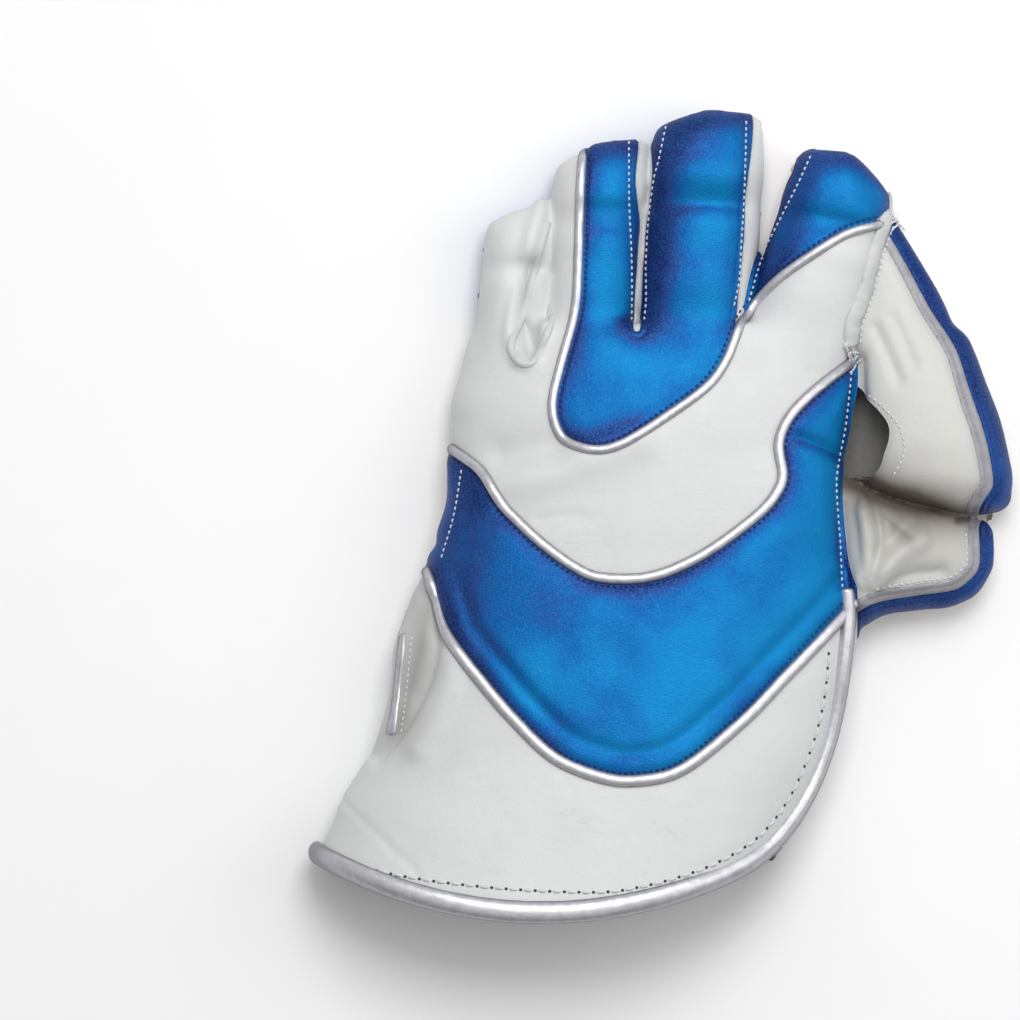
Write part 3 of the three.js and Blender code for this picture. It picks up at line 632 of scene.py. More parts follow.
def cut(source, target, field, near=0.3):
    """Gives the faces of piece source where field is negative to piece target, with a clean border."""
    if target not in PIECES:
        PIECES.append(target)
    source, target = PIECES.index(source), PIECES.index(target)
    at = np.array([v.co for v in skin.verts]) / MM
    for vert, value in zip(skin.verts, field(at)):
        vert[value_of] = value
    cut_edges = [e for e in skin.edges if any(f[piece_of] == source for f in e.link_faces)]
    for edge in cut_edges:
        a, b = edge.verts
        for vert, other in ((a, b), (b, a)):
            if vert[value_of] * other[value_of] < 0:
                share = vert[value_of] / (vert[value_of] - other[value_of])
                if share < near and vert not in on_seam:
                    vert.co = vert.co.lerp(other.co, share)
                    vert[value_of] = 0
    for edge in cut_edges:
        a, b = edge.verts
        if a[value_of] * b[value_of] < 0:
            share = a[value_of] / (a[value_of] - b[value_of])
            _, vert = bmesh.utils.edge_split(edge, a, share)
            vert[value_of] = 0
    line = [v for v in skin.verts if v[value_of] == 0 and any(f[piece_of] == source for f in v.link_faces)]
    bmesh.ops.connect_verts(skin, verts=line)
    for face in skin.faces:
        if face[piece_of] == source and sum(v[value_of] for v in face.verts) < 0:
            face[piece_of] = target
    on_seam.update(line)


def above(height):
    return lambda at: height - at[:, 2]


def below(height):
    return lambda at: at[:, 2] - height


def south_of(y):
    return lambda at: at[:, 1] - y


def both(*fields):
    return lambda at: np.max([field(at) for field in fields], axis=0)


def hem_field(at):
    """Negative past the hem, whose palm side ends a little before its back."""
    along = HAND_ROWS[0, 0]
    centre, half, bow = (float(through(HAND_ROWS, k, along)) for k in (1, 2, 4))
    across = (at[:, 0] - ORIGIN[0] - centre * WRIST) / (half * WRIST)
    low = np.clip((SEAM - at[:, 2]) / (SEAM - CUFF_LIFT), 0, 1)
    y = along * CUFF - bow * CUFF * (1 - across**2) + HEM_SET_BACK * low + ORIGIN[1]
    return at[:, 1] - y


PALM_EDGE = -0.14 * CUFF + ORIGIN[1]  # the rubber ends here, and the wrist band begins
WRIST_BAND = 12.0
TAPE = 6.0
BAND = 6.5
BASE_BAND = 5.5
TRIM = 4.5
PANEL_EDGE = 13.0  # the finger panels reach down to this height
web_hole = curve_through(np.array(WEB_HOLE) + ORIGIN)
turn = np.linspace(0, 2 * np.pi, 40, endpoint=False)
palm_hole = ORIGIN + PALM_HOLE_AT + np.column_stack([np.cos(turn), np.sin(turn)]) * PALM_HOLE_HALF
thumb_side = beside(curve_through(np.array(THUMB_SEAM) + ORIGIN, 2.0), left=True)
below_fold = beside(curve_through(np.array(FOLD_LINE) + ORIGIN, 2.0), left=False)


def hand_side(at):
    return -thumb_side(at)


def tapered(edge):
    """The distance from an edge, counted longer towards the finger end, where the bands grow narrow."""

    def field(at):
        narrowing = np.clip((at[:, 1] - ORIGIN[1] - 60) / 70, 0, 1)
        return distance_to_line(at[:, :2], edge) * (0.85 + 0.45 * narrowing)

    return field


cut("hand_back", "gone", hem_field)
cut("hand_back", "palm_facing", below(SEAM))
cut("hand_back", "thumb_back", thumb_side)
cut("thumb_back", "thumb_base", below_fold)
cut("thumb_back", "gone", inside_of(web_hole))
from_thumb_edge = tapered(thumb_edge)
cut("thumb_back", "thumb_band", lambda at: from_thumb_edge(at) - BAND)
cut("thumb_back", "thumb_trim", lambda at: from_thumb_edge(at) - BAND - TRIM)
print({name: sum(f[piece_of] == i for f in skin.faces) for i, name in enumerate(PIECES)})

# %% [markdown]
# ## The base of the thumb
# Its band and trim follow the outer edge of the lower lobe. The edge is read from the rows of the form,
# as the cutter would draw round the last. The other cuts go through hand, cuff and palm.

# %% Cuts of hand, cuff and palm
base_rows = BASE_ROWS[BASE_ROWS[:, 0] > 0]
base_edge = curve_through([
    *[(side_at(0.0) + out * REACH, low * PALM + ORIGIN[1]) for out, low, high, top in base_rows],
    (side_at(0.0) + base_rows[-1][0] * REACH, base_rows[-1][2] * PALM + ORIGIN[1]),
])
cut("thumb_base", "thumb_base_band", lambda at: distance_to_line(at[:, :2], base_edge) - BASE_BAND)
cut("thumb_base", "thumb_base_trim", lambda at: distance_to_line(at[:, :2], base_edge) - BASE_BAND - TRIM)
cut("hand_back", "wrist_panel", inside_of(wrist_outline))
cut("hand_back", "cuff_back", beside(lower_line, left=False))
cut("hand_back", "finger_panel", both(inside_of(finger_outline), above(PANEL_EDGE)))
cut("hand_back", "index_panel", both(inside_of(index_outline), above(PANEL_EDGE)))
on_palm_cuff = both(south_of(PALM_EDGE), hand_side)
cut("palm_facing", "cuff_palm", on_palm_cuff)
cut("palm_facing", "gone", inside_of(palm_hole))
cut("cuff_palm", "wrist_band", lambda at: PALM_EDGE - WRIST_BAND - at[:, 1])
tape_line = laid(INSET)
flat_below = below(CUFF_LIFT + 3)
cut("cuff_palm", "palm_tape", both(lambda at: distance_to_line(at[:, :2], tape_line) - TAPE / 2, flat_below))
cut("cuff_palm", "palm_inset", both(inside_of(tape_line), flat_below))
print(len(PIECES) - 1, "pieces and what is cut away")

# %% [markdown]
# ## Slivers
# Cuts that run close together leave slivers between them. A cutter sweeps them up. Here each sliver goes
# to the piece beside it, so that every piece is in one part.

# %% Slivers
def islands(label):
    """The faces of one piece in connected groups, the largest first."""
    left = {f.index: f for f in skin.faces if f[piece_of] == label}
    found = []
    while left:
        front = [left.pop(min(left))]
        island = []
        while front:
            face = front.pop()
            island.append(face)
            beside_it = [other for edge in face.edges for other in edge.link_faces]
            front += [left.pop(other.index) for other in beside_it if other.index in left]
        found.append(island)
    return sorted(found, key=len, reverse=True)


skin.faces.index_update()
slivers = 0
for label, name in enumerate(PIECES):
    for island in islands(label)[1:] if name != "gone" else []:
        around = [other[piece_of] for face in island for edge in face.edges for other in edge.link_faces]
        around = [other for other in around if other != label]
        for face in island:
            face[piece_of] = max(sorted(set(around)), key=around.count)
        slivers += 1
print(slivers, "slivers went to the piece beside them")
print({name: sum(f[piece_of] == i for f in skin.faces) for i, name in enumerate(PIECES)})

# %% [markdown]
# ## From a patch of skin to a piece of leather
# A sewn piece isn't a patch of a smooth form. Its edge turns down into the seam, its middle stands up on
# the padding, and it has a wall with a rim. All three follow from one number, the distance of a point to
# the border of its piece. It drives the height here, and later the painted shade near an edge. The faces of
# all outsides are kept, because the stitches are dropped on them later.

# %% Pieces with puffed middles and real walls
skin.normal_update()
outer_points, outer_faces = [], []


def patch(name):
    """The faces of one piece of the skin, as a mesh of its own."""
    label = PIECES.index(name)
    faces = [f for f in skin.faces if f[piece_of] == label]
    verts = list({v: None for f in faces for v in f.verts})
    index = {v: i for i, v in enumerate(verts)}
    mesh = bpy.data.meshes.new(name)
    mesh.from_pydata([tuple(v.co) for v in verts], [], [[index[v] for v in f.verts] for f in faces])
    return mesh


def refined(mesh, levels):
    """The mesh with each face divided into four, as often as levels says."""
    if not levels:
        return mesh
    obj = bpy.data.objects.new("finer", mesh)
    bpy.context.scene.collection.objects.link(obj)
    subdivision = obj.modifiers.new("finer", "SUBSURF")
    subdivision.levels = levels
    subdivision.boundary_smooth = "PRESERVE_CORNERS"
    finer = bpy.data.meshes.new_from_object(obj.evaluated_get(bpy.context.evaluated_depsgraph_get()))
    bpy.data.objects.remove(obj)
    return finer


def border_of(faces):
    """Directed border edges: those whose reverse is in no face."""
    directed = {(a, b) for face in faces for a, b in zip(face, (*face[1:], face[0]))}
    return [(a, b) for a, b in directed if (b, a) not in directed]


def distance_to_border(points, border):
    ends = points[np.array(border)]
    shares = np.linspace(0, 1, 4, endpoint=False)
    samples = np.concatenate([ends[:, 0] + (ends[:, 1] - ends[:, 0]) * s for s in shares])
    tree = KDTree(len(samples))
    for i, sample in enumerate(samples):
        tree.insert(sample, i)
    tree.balance()
    return np.array([tree.find(p)[2] for p in points])


def rounded_edge(distance, radius):
    """0 on the border, 1 from radius inwards, along a quarter of a circle."""
    return np.sqrt(1 - (1 - np.clip(distance / radius, 0, 1)) ** 2)


def puffed(height, width):
    return lambda distance, at: height * (1 - np.exp(-distance / width))


def panel(edge, radius, crown=0.0, width=6.0, sewn_at=2.6):
    """A piece with a rolled edge, a crown, and a slight valley where the thread pulls it down."""

    def profile(distance, at):
        valley = 0.3 * np.exp(-(((distance - sewn_at) / 0.7) ** 2))
        return edge * rounded_edge(distance, radius) + crown * (1 - np.exp(-distance / width)) - valley

    return profile


def make_piece(name, nodes, slot, profile, wall, levels):
    """Builds one sewn piece from its patch of the skin, in metres, with its wall on the inside."""
    mesh = refined(patch(name), levels)
    at, _ = mesh_arrays(mesh)
    normals = mesh_normals(mesh)
    faces = [tuple(p.vertices) for p in mesh.polygons]
    border = border_of(faces)
    distance = distance_to_border(at, border)
    outside = at + normals * profile(distance, at)[:, None]
    inside = at - normals * wall
    count = len(at)
    first = sum(map(len, outer_points))
    outer_faces.extend(tuple(i + first for i in f) for f in faces)
    outer_points.append(outside)
    walls = [(a, a + count, b + count, b)[::-1] for a, b in border]
    inner = [tuple(i + count for i in f[::-1]) for f in faces]
    built = bpy.data.meshes.new(name)
    built.from_pydata((np.vstack([outside, inside]) * MM).tolist(), [], [*faces, *walls, *inner])
    built.polygons.foreach_set("material_index", [0] * (len(faces) + len(walls)) + [1] * len(inner))
    built.polygons.foreach_set("use_smooth", [True] * len(built.polygons))
    attribute = built.attributes.new("edge", "FLOAT", "POINT")
    attribute.data.foreach_set("value", np.concatenate([distance, distance]).astype(np.float32))
    return finished(built, name + "_piece", nodes, slot)


def finished(mesh, name, nodes, slot):
    obj = bpy.data.objects.new(name, mesh)
    bpy.context.scene.collection.objects.link(obj)
    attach(obj, "root")
    if nodes:
        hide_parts(*nodes)
    return obj


print("ready to build", len(PIECES) - 1, "pieces")

# %% [markdown]
# ## The pieces
# Each piece has a row: its finish, the form of its top and how often its mesh is refined. The panel
# across the wrist has its own form, a pillow with a groove. Deep places, such as the fold of the thumb,
# are marked, because painted shade darkens the finish there.

# %% All pieces of leather and rubber
GROOVE_AT, GROOVE_WIDTH, GROOVE_DEPTH = 11, 3.4, 1.1
LEATHER, RUBBER = 2.0, 2.6  # the thickness of a wall
FINGER_PANEL, BAND_PANEL = panel(1.0, 1.3, 0.5), panel(0.6, 1.2, 0.4)


def wrist_profile(distance, at):
    """A padded panel with a groove sewn in along its lower border."""
    groove = (distance_to_line(at[:, :2], lower_line) - GROOVE_AT) / GROOVE_WIDTH
    padding = 1 - np.exp(-np.maximum(distance - 2.5, 0) / 5)
    return 0.9 * rounded_edge(distance, 1.4) + 2.4 * padding - GROOVE_DEPTH * np.exp(-(groove**2))


PIECE_ROWS = [
    # name, finish slot, form of the top, refined how often
    ("hand_back", "white_leather", puffed(0.7, 3.0), 0),
    ("cuff_back", "white_leather", puffed(0.6, 3.0), 0),
    ("thumb_back", "white_leather", puffed(0.7, 3.0), 1),
    ("thumb_base", "white_leather", puffed(0.7, 3.0), 1),
    ("cuff_palm", "white_leather", puffed(0.4, 3.0), 0),
    ("wrist_band", "white_leather", panel(0.8, 1.0), 1),
    ("finger_panel", "blue_leather", FINGER_PANEL, 1),
    ("index_panel", "blue_leather", FINGER_PANEL, 1),
    ("wrist_panel", "blue_leather", wrist_profile, 1),
    ("thumb_band", "blue_leather", BAND_PANEL, 1),
    ("thumb_base_band", "blue_leather", BAND_PANEL, 1),
    ("palm_inset", "blue_leather", panel(0.4, 1.2), 1),
    ("thumb_trim", "grey_trim", panel(0.5, 1.0), 1),
    ("thumb_base_trim", "grey_trim", panel(0.5, 1.0), 1),
    ("palm_tape", "silver_binding", panel(0.8, 1.0), 1),
    ("palm_facing", "rubber_facing", puffed(0.0, 1.0), 0),
]
SHADED_HOLLOWS = [
    # strength of the painted shade, and width in mm, line on the plan
    (0.55, 6, [(97, 18), (103, 12), (107, 9)]),
    (0.4, 7, [(-84, -12), (-87, -30), (-92, -50), (-97, -68)]),
    (0.9, 4, [(127, 16), (140, 17)]),
]
fold_line = curve_through(np.array(FOLD_LINE) + ORIGIN)


def mark_fold_shade(obj):
    """Stores how deep each point lies in the fold of the thumb or in one of the hollows, from 0 to 1, for the
    brown painted shade of the white leather.
    """
    at, _ = mesh_arrays(obj.data)
    past = np.clip((at[:, 1] - np.interp(at[:, 0], fold_line[:, 0], fold_line[:, 1])) / 3, 0, 1)
    deep = np.exp(-distance_to_line(at[:, :2], fold_line) / (12 - 3 * past))
    deep *= np.clip(1.5 - (at[:, 0] - ORIGIN[0] - 88) / 45, 0.6, 1)
    for strength, width, line in SHADED_HOLLOWS:
        deep = np.maximum(deep, strength * np.exp(-distance_to_line(at[:, :2] - ORIGIN, line) / width))
    obj.data.attributes.new("fold_shade", "FLOAT", "POINT").data.foreach_set("value", deep.astype(np.float32))


white, blue, grey, silver, rubber = {}, {}, {}, {}, {}
made_of = {
    "white_leather": white, "blue_leather": blue, "grey_trim": grey, "silver_binding": silver,
    "rubber_facing": rubber,
}
for name, slot, profile, levels in PIECE_ROWS:
    nodes = [] if name == "thumb_base" else [name]  # the solid of the thumb's back holds its base too
    wall = RUBBER if slot == "rubber_facing" else LEATHER
    made_of[slot][name] = make_piece(name, nodes, slot, profile, wall, levels)
# painted shade in the fold of the thumb and in the hollows of the cuff
for name in ("thumb_back", "thumb_base", "cuff_back"):
    mark_fold_shade(white[name])
print({name: len(obj.data.polygons) for group in made_of.values() for name, obj in group.items()})

# %% [markdown]
# ## Dropping things on the surface
# Piping, seams and stitches lie on the sewn surface. Their routes are known on the plan only, so each
# point is dropped from above until it meets a piece, as a needle would. A search tree over all outer
# faces makes that quick.

# %% Cords on the surface
sewn = BVHTree.FromPolygons(np.vstack(outer_points).tolist(), outer_faces)
bare = BVHTree.FromPolygons(points.tolist(), [tuple(p.vertices) for p in form.polygons])
CORD_STEP, CORD_EASE = 0.8, 6
ABOVE, UNDER = 200.0, -100.0  # where a needle starts, on either side of the glove


def drop(at, surface, down=(0, 0, -1), start=ABOVE):
    """Where a plumb line through a plan point meets a surface, and the normal there."""
    place, normal, _, _ = surface.ray_cast(Vector((at[0], at[1], start)), Vector(down))
    if place is None:
        place, normal, _, _ = surface.find_nearest(Vector((at[0], at[1], PANEL_EDGE)))
    return np.array(place), np.array(normal)


def eased(path, rounds):
    """The path with each point drawn to the middle of its neighbours, in place."""
    for _ in range(rounds):
        path[1:-1] = 0.5 * path[1:-1] + 0.25 * (path[:-2] + path[2:])
    return path


def swept(path, ups, across, high, sides=14, wrinkle=0.0, seed=1):
    """A cord of oval section along a path, with small wrinkles round it and narrow ends."""
    ahead = np.gradient(path, axis=0)
    ahead /= np.linalg.norm(ahead, axis=1)[:, None]
    side = np.cross(ahead, ups)
    side /= np.linalg.norm(side, axis=1)[:, None]
    up = np.cross(side, ahead)
    random = np.random.default_rng(seed)
    rough = eased(random.normal(size=(len(path), sides)), 2) * wrinkle
    angle = np.linspace(0, 2 * np.pi, sides, endpoint=False)
    sideways = (np.cos(angle) * across)[None, :, None] * side[:, None]
    upwards = (np.sin(angle) * high)[None, :, None] * up[:, None]
    points = path[:, None] + (sideways + upwards) * (1 + rough[:, :, None])
    for end in (0, -1):
        points[end] = path[end] + (points[end] - path[end]) * 0.3
    rings = len(path)
    faces = []
    for i in range(rings - 1):
        a, b = i * sides, (i + 1) * sides
        for j in range(sides):
            k = (j + 1) % sides
            faces.append((a + j, b + j, b + k, a + k))
    faces += [tuple(range(sides)), tuple(range(rings * sides - 1, (rings - 1) * sides - 1, -1))]
    return points.reshape(-1, 3), faces


def mesh_from(name, points, faces):
    mesh = bpy.data.meshes.new(name)
    mesh.from_pydata((np.asarray(points) * MM).tolist(), [], faces)
    mesh.polygons.foreach_set("use_smooth", [True] * len(mesh.polygons))
    outward(mesh)
    return mesh


def route(line, step, ease):
    """A line of the plan laid on the form, with the eased normals under it."""
    dropped = [drop(p, bare) for p in evenly(line, step)]
    ups = eased(np.array([n for _, n in dropped]), 12)
    ups /= np.linalg.norm(ups, axis=1)[:, None]
    return eased(np.array([p for p, _ in dropped]), ease), ups


web_line = laid(WEB_SEAM)
little_line = laid([
    (-0.63, 1.36), (-0.67, 1.26), (-0.71, 1.14), (-0.77, 0.98), (-0.78, 0.86), (-0.71, 0.79), (-0.64, 0.79),
    (-0.61, 0.87), (-0.6, 0.98),
])
side_line = np.array(SIDE_BINDING) + ORIGIN
CORDS = [
    # object, solid, line, half width, half height and rise in mm, finish slot, wrinkle
    ("finger_piping_cord", "finger_piping", piping_line, 2.0, 1.9, 0.6, "silver_binding", 0.02),
    ("wrist_piping_upper_cord", "wrist_piping_upper", upper_line, 2.2, 2.0, 1.0, "silver_binding", 0.02),
    ("wrist_piping_lower_cord", "wrist_piping_lower", lower_line, 2.5, 2.2, 1.0, "silver_binding", 0.02),
    ("web_seam_ridge", "web_seam", web_line, 4.0, 2.4, 0.9, "white_leather", 0.13),
    ("little_finger_seam_ridge", "little_finger_seam", little_line, 1.7, 1.4, 0.2, "white_leather", 0.03),
    ("cuff_side_binding_strip", "cuff_side_binding", side_line, 2.8, 1.2, 0.5, "silver_binding", 0.03),
]
for name, node, line, across, high, rise, slot, wrinkle in CORDS:
    path, ups = route(line, CORD_STEP, CORD_EASE)
    cord_mesh = mesh_from(name, *swept(path + ups * rise, ups, across, high, wrinkle=wrinkle))
    made_of[slot][node] = finished(cord_mesh, name, [node], slot)
print(len(CORDS), "cords, the first over the form by", CORDS[0][5], "mm")

# %% [markdown]
# ## The bound hem
# A binding is a strip folded over the raw edges of leather and lining, and sewn through. The back of the
# cuff is a flap: its binding runs along the hem, turns the corner on the thumb's side and climbs that
# side up to the wrist panel. The palm has a binding of its own. Both start from the open border of the
# skin.

# %% Hem bindings
SIDE_EDGE = [
    (40, -122), (50, -115), (59, -105), (66, -94), (71, -83), (75, -71), (78, -58), (80, -45), (81.5, -32),
    (82.5, -20), (82, -11),
]
HEM_STEP, HEM_EASE = 0.9, 25
BACK_BINDING, PALM_BINDING = (4.6, 3.5), (3.6, 2.6)  # half width and half height


def open_loop(test):
    """The border of the kept skin where test holds for its points, in order."""
    gone = PIECES.index("gone")
    following = {}
    for edge in skin.edges:
        kinds = [f[piece_of] == gone for f in edge.link_faces]
        if len(kinds) == 2 and kinds[0] != kinds[1] and all(test(v.co / MM) for v in edge.verts):
            a, b = edge.verts
            following.setdefault(a, []).append(b)
            following.setdefault(b, []).append(a)
    start = next(iter(following))
    loop, last, now = [start], start, following[start][0]
    while now is not start:
        loop.append(now)
        last, now = now, next((v for v in following[now] if v is not last), start)
    return np.array([v.co for v in loop]) / MM


def bound(name, node, path, across, high, seed):
    """A binding on a path round the mouth, its width across the edge."""
    path = eased(evenly(path, HEM_STEP), HEM_EASE)
    ups = path - mouth
    ups[:, 1] = 0
    ups /= np.linalg.norm(ups, axis=1)[:, None]
    points, faces = swept(path, ups, across, high, sides=18, wrinkle=0.012, seed=seed)
    points[:, 2] = np.maximum(points[:, 2], 0.4)
    return finished(mesh_from(name, points, faces), name, [node], "silver_binding")


hem = open_loop(lambda p: p.y < -0.5 * CUFF)
mouth = hem.mean(axis=0)
back_hem = hem[hem[:, 2] > SEAM]
back_hem = back_hem[np.argsort(back_hem[:, 0])]
corner = back_hem[:, 0] < SIDE_EDGE[0][0] + ORIGIN[0] - 6
side_path, side_ups = route(curve_through(np.array(SIDE_EDGE) + ORIGIN), HEM_STEP, 8)
hem_path = np.vstack([back_hem[corner] + (0, 2.6, 0.3), side_path + side_ups * 0.6])
palm_hem = hem[hem[:, 2] < SEAM + 2]
palm_hem = palm_hem[np.argsort(palm_hem[:, 0])]
silver["hem"] = bound("hem_binding_back_strip", "hem_binding_back", hem_path, *BACK_BINDING, 4)
silver["palm_hem"] = bound("hem_binding_palm_strip", "hem_binding_palm", palm_hem, *PALM_BINDING, 5)
print("the back hem is", round(float(np.linalg.norm(np.diff(hem_path, axis=0), axis=1).sum())), "mm long")

# %% [markdown]
# ## Stitches
# Thread shows as a row of short dashes: each stitch comes up, lies on the leather and goes down again.
# A texture could fake that, but real little arcs catch the light and stay true from every side. One
# small tapered arc is made once and set along each row, at the pitch of the sewing machine.

# %% Thread
PITCH, HEM_PITCH, PALM_HEM_PITCH = 2.5, 5.8, 4.5
WHITE_ROWS = [
    # pitch in mm, line on the plan
    (PITCH, [(10, 174), (7, 160), (5, 152), (3, 136), (2, 120), (2, 104), (1, 95)]),
    (PITCH, [(42, 176), (41, 144), (40, 128), (39, 112), (37, 102)]),
    (PITCH, [(-5, 168), (-5, 144), (-4, 120), (-4, 95)]),
    (PITCH, [(68, 162), (63, 151), (59, 143), (55, 135), (51, 127), (48, 120), (46, 114), (43, 104)]),
    (PITCH, [
        (84.5, 78), (83, 64), (81.5, 52), (79.5, 42), (78, 32), (78.5, 20), (79.5, 8), (80, -4), (80.5, -12),
    ]),
    (PITCH, [(-72, 36), (-75, 18), (-80, 1)]),
    (PITCH, [(-92, -31), (-93, -42), (-94.4, -56), (-96.2, -69)]),
    (HEM_PITCH, [
        (-121, -119), (-105, -124), (-81, -128), (-49, -131), (-17, -132), (-1, -130), (15, -126), (31, -120),
        (47, -110), (59, -95), (68, -75), (73, -56), (75, -36),
    ]),
    (PITCH, [(91, 66), (95, 63), (99, 59), (103, 54), (105, 48), (105, 42), (101, 34)]),
]


def offset(line, by):
    """The line moved sideways, to its left for a positive distance."""
    line = np.asarray(line, float)
    ahead = np.gradient(line, axis=0)
    ahead /= np.linalg.norm(ahead, axis=1)[:, None]
    return line + np.column_stack([-ahead[:, 1], ahead[:, 0]]) * by


def stitch_form(length, radius, sides=5, rings=5):
    """One stitch along x, highest in its middle, with both ends in the leather."""
    shares = np.linspace(-1, 1, rings)
    angle = np.linspace(0, 2 * np.pi, sides, endpoint=False)
    points = []
    for share in shares:
        thick = radius * (1 - 0.55 * share**4)
        for a in angle:
            sunk = radius * 1.5 * share**4
            points.append((share * length / 2, thick * np.cos(a), thick * np.sin(a) * 0.9 - sunk))
    faces = [
        (i * sides + j, (i + 1) * sides + j, (i + 1) * sides + (j + 1) % sides, i * sides + (j + 1) % sides)
        for i in range(rings - 1) for j in range(sides)
    ]
    faces += [tuple(range(sides)), tuple(range(rings * sides - 1, (rings - 1) * sides - 1, -1))]
    return np.array(points), faces


def sew(rows, radius, from_below=False, lift=0.25, share=0.72, begin=0):
    """Points and faces of all stitches of rows of (pitch, line), dropped on the sewn surface.
    Each is share of a pitch long. With begin=1 they lie in the gaps of a row sewn with begin=0."""
    points, faces = [], []
    down, start = ((0, 0, 1), UNDER) if from_below else ((0, 0, -1), ABOVE)
    first = 0
    for pitch, line in rows:
        form_points, form_faces = stitch_form(pitch * share, radius)
        places = evenly(line, pitch / 2)[begin:]
        for before, after in zip(places[0:-1:2], places[1::2]):
            (a, up_a), (b, up_b) = drop(before, sewn, down, start), drop(after, sewn, down, start)
            missed = np.linalg.norm(a[:2] - before) + np.linalg.norm(b[:2] - after) > 0.1
            inside = max(np.dot(up_a, down), np.dot(up_b, down)) > 0
            if missed or inside or np.linalg.norm(a - b) > 2 * pitch:
                continue
            ahead = (b - a) / np.linalg.norm(b - a)
            up = up_a + up_b
            side = np.cross(up, ahead)
            side /= np.linalg.norm(side)
            up = np.cross(ahead, side)
            turned = form_points @ np.array([ahead, side, up]) + (a + b) / 2 + up * lift
            points.append(turned)
            faces.extend(tuple(i + first for i in face) for face in form_faces)
            first += len(turned)
    return np.vstack(points), faces


white_rows = [(pitch, curve_through(np.array(line, float) + ORIGIN)) for pitch, line in WHITE_ROWS]
trim_line = offset(thumb_edge, -(BAND + TRIM / 2))
white_rows.append((PITCH, trim_line[trim_line[:, 1] > 22 + ORIGIN[1]]))
white_rows.append((PITCH, trim_line[trim_line[:, 1] > 22 + ORIGIN[1]] + (-3.2, 0)))
blue_row = offset(thumb_edge, -BAND / 2)
white_rows.append((PITCH, blue_row[(blue_row[:, 1] > 24 + ORIGIN[1]) & (blue_row[:, 1] < 70 + ORIGIN[1])]))
base_row = offset(base_edge, BASE_BAND + TRIM + 1.0)
white_rows.append((PITCH, base_row[(base_row[:, 0] > side_at(0.0) + 8) & (base_row[:, 1] < 18 + ORIGIN[1])]))
beside_piping = [(piping_line, 2.9), (lower_line, 3.3), (upper_line, -3.1)]
navy_rows = [(PITCH, offset(line, by)) for line, by in beside_piping]
white_rows.append((PITCH, offset(web_line, 4.6)))
long_rows = [row for row in white_rows if row[0] > PITCH]
short_rows = [row for row in white_rows if row[0] == PITCH]
white_thread = mesh_from("white_thread", *sew(short_rows, 0.42))
hem_thread = mesh_from("hem_thread", *sew(long_rows, 0.6, lift=0.4))
navy_thread = mesh_from("navy_thread", *sew(navy_rows, 0.4))
# painted shade: small dark dashes in the gaps of the hem rows stand in for the shade inside the needle holes
hole_shade = mesh_from("painted_needle_hole_shade", *sew(long_rows, 0.6, lift=0.0, share=0.32, begin=1))
thread = {
    "hem_thread": finished(hem_thread, "hem_thread", [], "white_leather"),
    "painted_needle_hole_shade": finished(hole_shade, "painted_needle_hole_shade", [], "white_leather"),
    "white_thread": finished(white_thread, "white_thread", [], "white_leather"),
    "navy_thread": finished(navy_thread, "navy_thread", [], "blue_leather"),
}
print(len(white_thread.polygons), "and", len(navy_thread.polygons), "faces of thread")

# %% [markdown]
# ## Loose thread
# Where many rows end, at both ends of the seam between the index finger and the web, the thread was left
# long and has curled up. Each curl is a short random walk on the plan, laid on the leather. The walk is
# seeded, so it is the same in every run.

# %% Curls of loose thread
TANGLES = [(82, 86), (84, 83), (85, 79), (101, 145), (102, 140), (103, 135)]


def curl(at, random):
    turns = np.cumsum(random.normal(size=16) * 0.8) + random.uniform(0, 2 * np.pi)
    walk = np.cumsum(np.column_stack([np.cos(turns), np.sin(turns)]) * 0.8, axis=0)
    dropped = [drop(p, bare) for p in at + walk - walk.mean(axis=0)]
    ups = np.array([n for _, n in dropped])
    path = np.array([p for p, _ in dropped]) + ups * (1.4 + 0.7 * np.sin(turns))[:, None]
    return swept(eased(path, 2), ups, 0.42, 0.42, sides=6)


random = np.random.default_rng(8)
curls = [curl(np.array(at) + ORIGIN, random) for at in TANGLES for _ in range(3)]
curl_points = np.vstack([points for points, _ in curls])
curl_faces, count = [], 0
for curl_verts, faces_of_curl in curls:
    curl_faces += [tuple(i + count for i in face) for face in faces_of_curl]
    count += len(curl_verts)
loose = mesh_from("loose_thread", curl_points, curl_faces)
thread["loose_thread"] = finished(loose, "loose_thread", [], "white_leather")
print(len(curls), "curls of loose thread")

# %% [markdown]
# ## Sewing on the palm side
# The underside of the cuff is sewn as well: two rows hold the wrist band, two hold the tape round the
# inset, and one runs inside the hem.

# %% Thread of the palm side
palm_left, palm_right = -76 + ORIGIN[0], 70 + ORIGIN[0]
palm_rows = [
    (PITCH, [(palm_left, PALM_EDGE - 2), (palm_right, PALM_EDGE - 2)]),
    (PITCH, [(palm_left, PALM_EDGE - WRIST_BAND + 2), (palm_right, PALM_EDGE - WRIST_BAND + 2)]),
    (PITCH, offset(tape_line, 2.0)),
    (PITCH, offset(tape_line, -2.0)),
    (PALM_HEM_PITCH, evenly(palm_hem[:, :2], 2.0)[8:-8] + (0, 11.0)),
]
palm_thread = mesh_from("palm_thread", *sew(palm_rows, 0.42, from_below=True))
thread["palm_thread"] = finished(palm_thread, "palm_thread", [], "white_leather")
print(len(palm_thread.polygons), "faces of thread on the palm side")

# %% [markdown]
# ## Pimples of the facing
# The rubber that meets the ball is moulded with small raised rings, in rows that are offset by half a
# step. They are what the glove rests on. Each ring is a small lathe profile, and one numpy product sets
# all the copies.

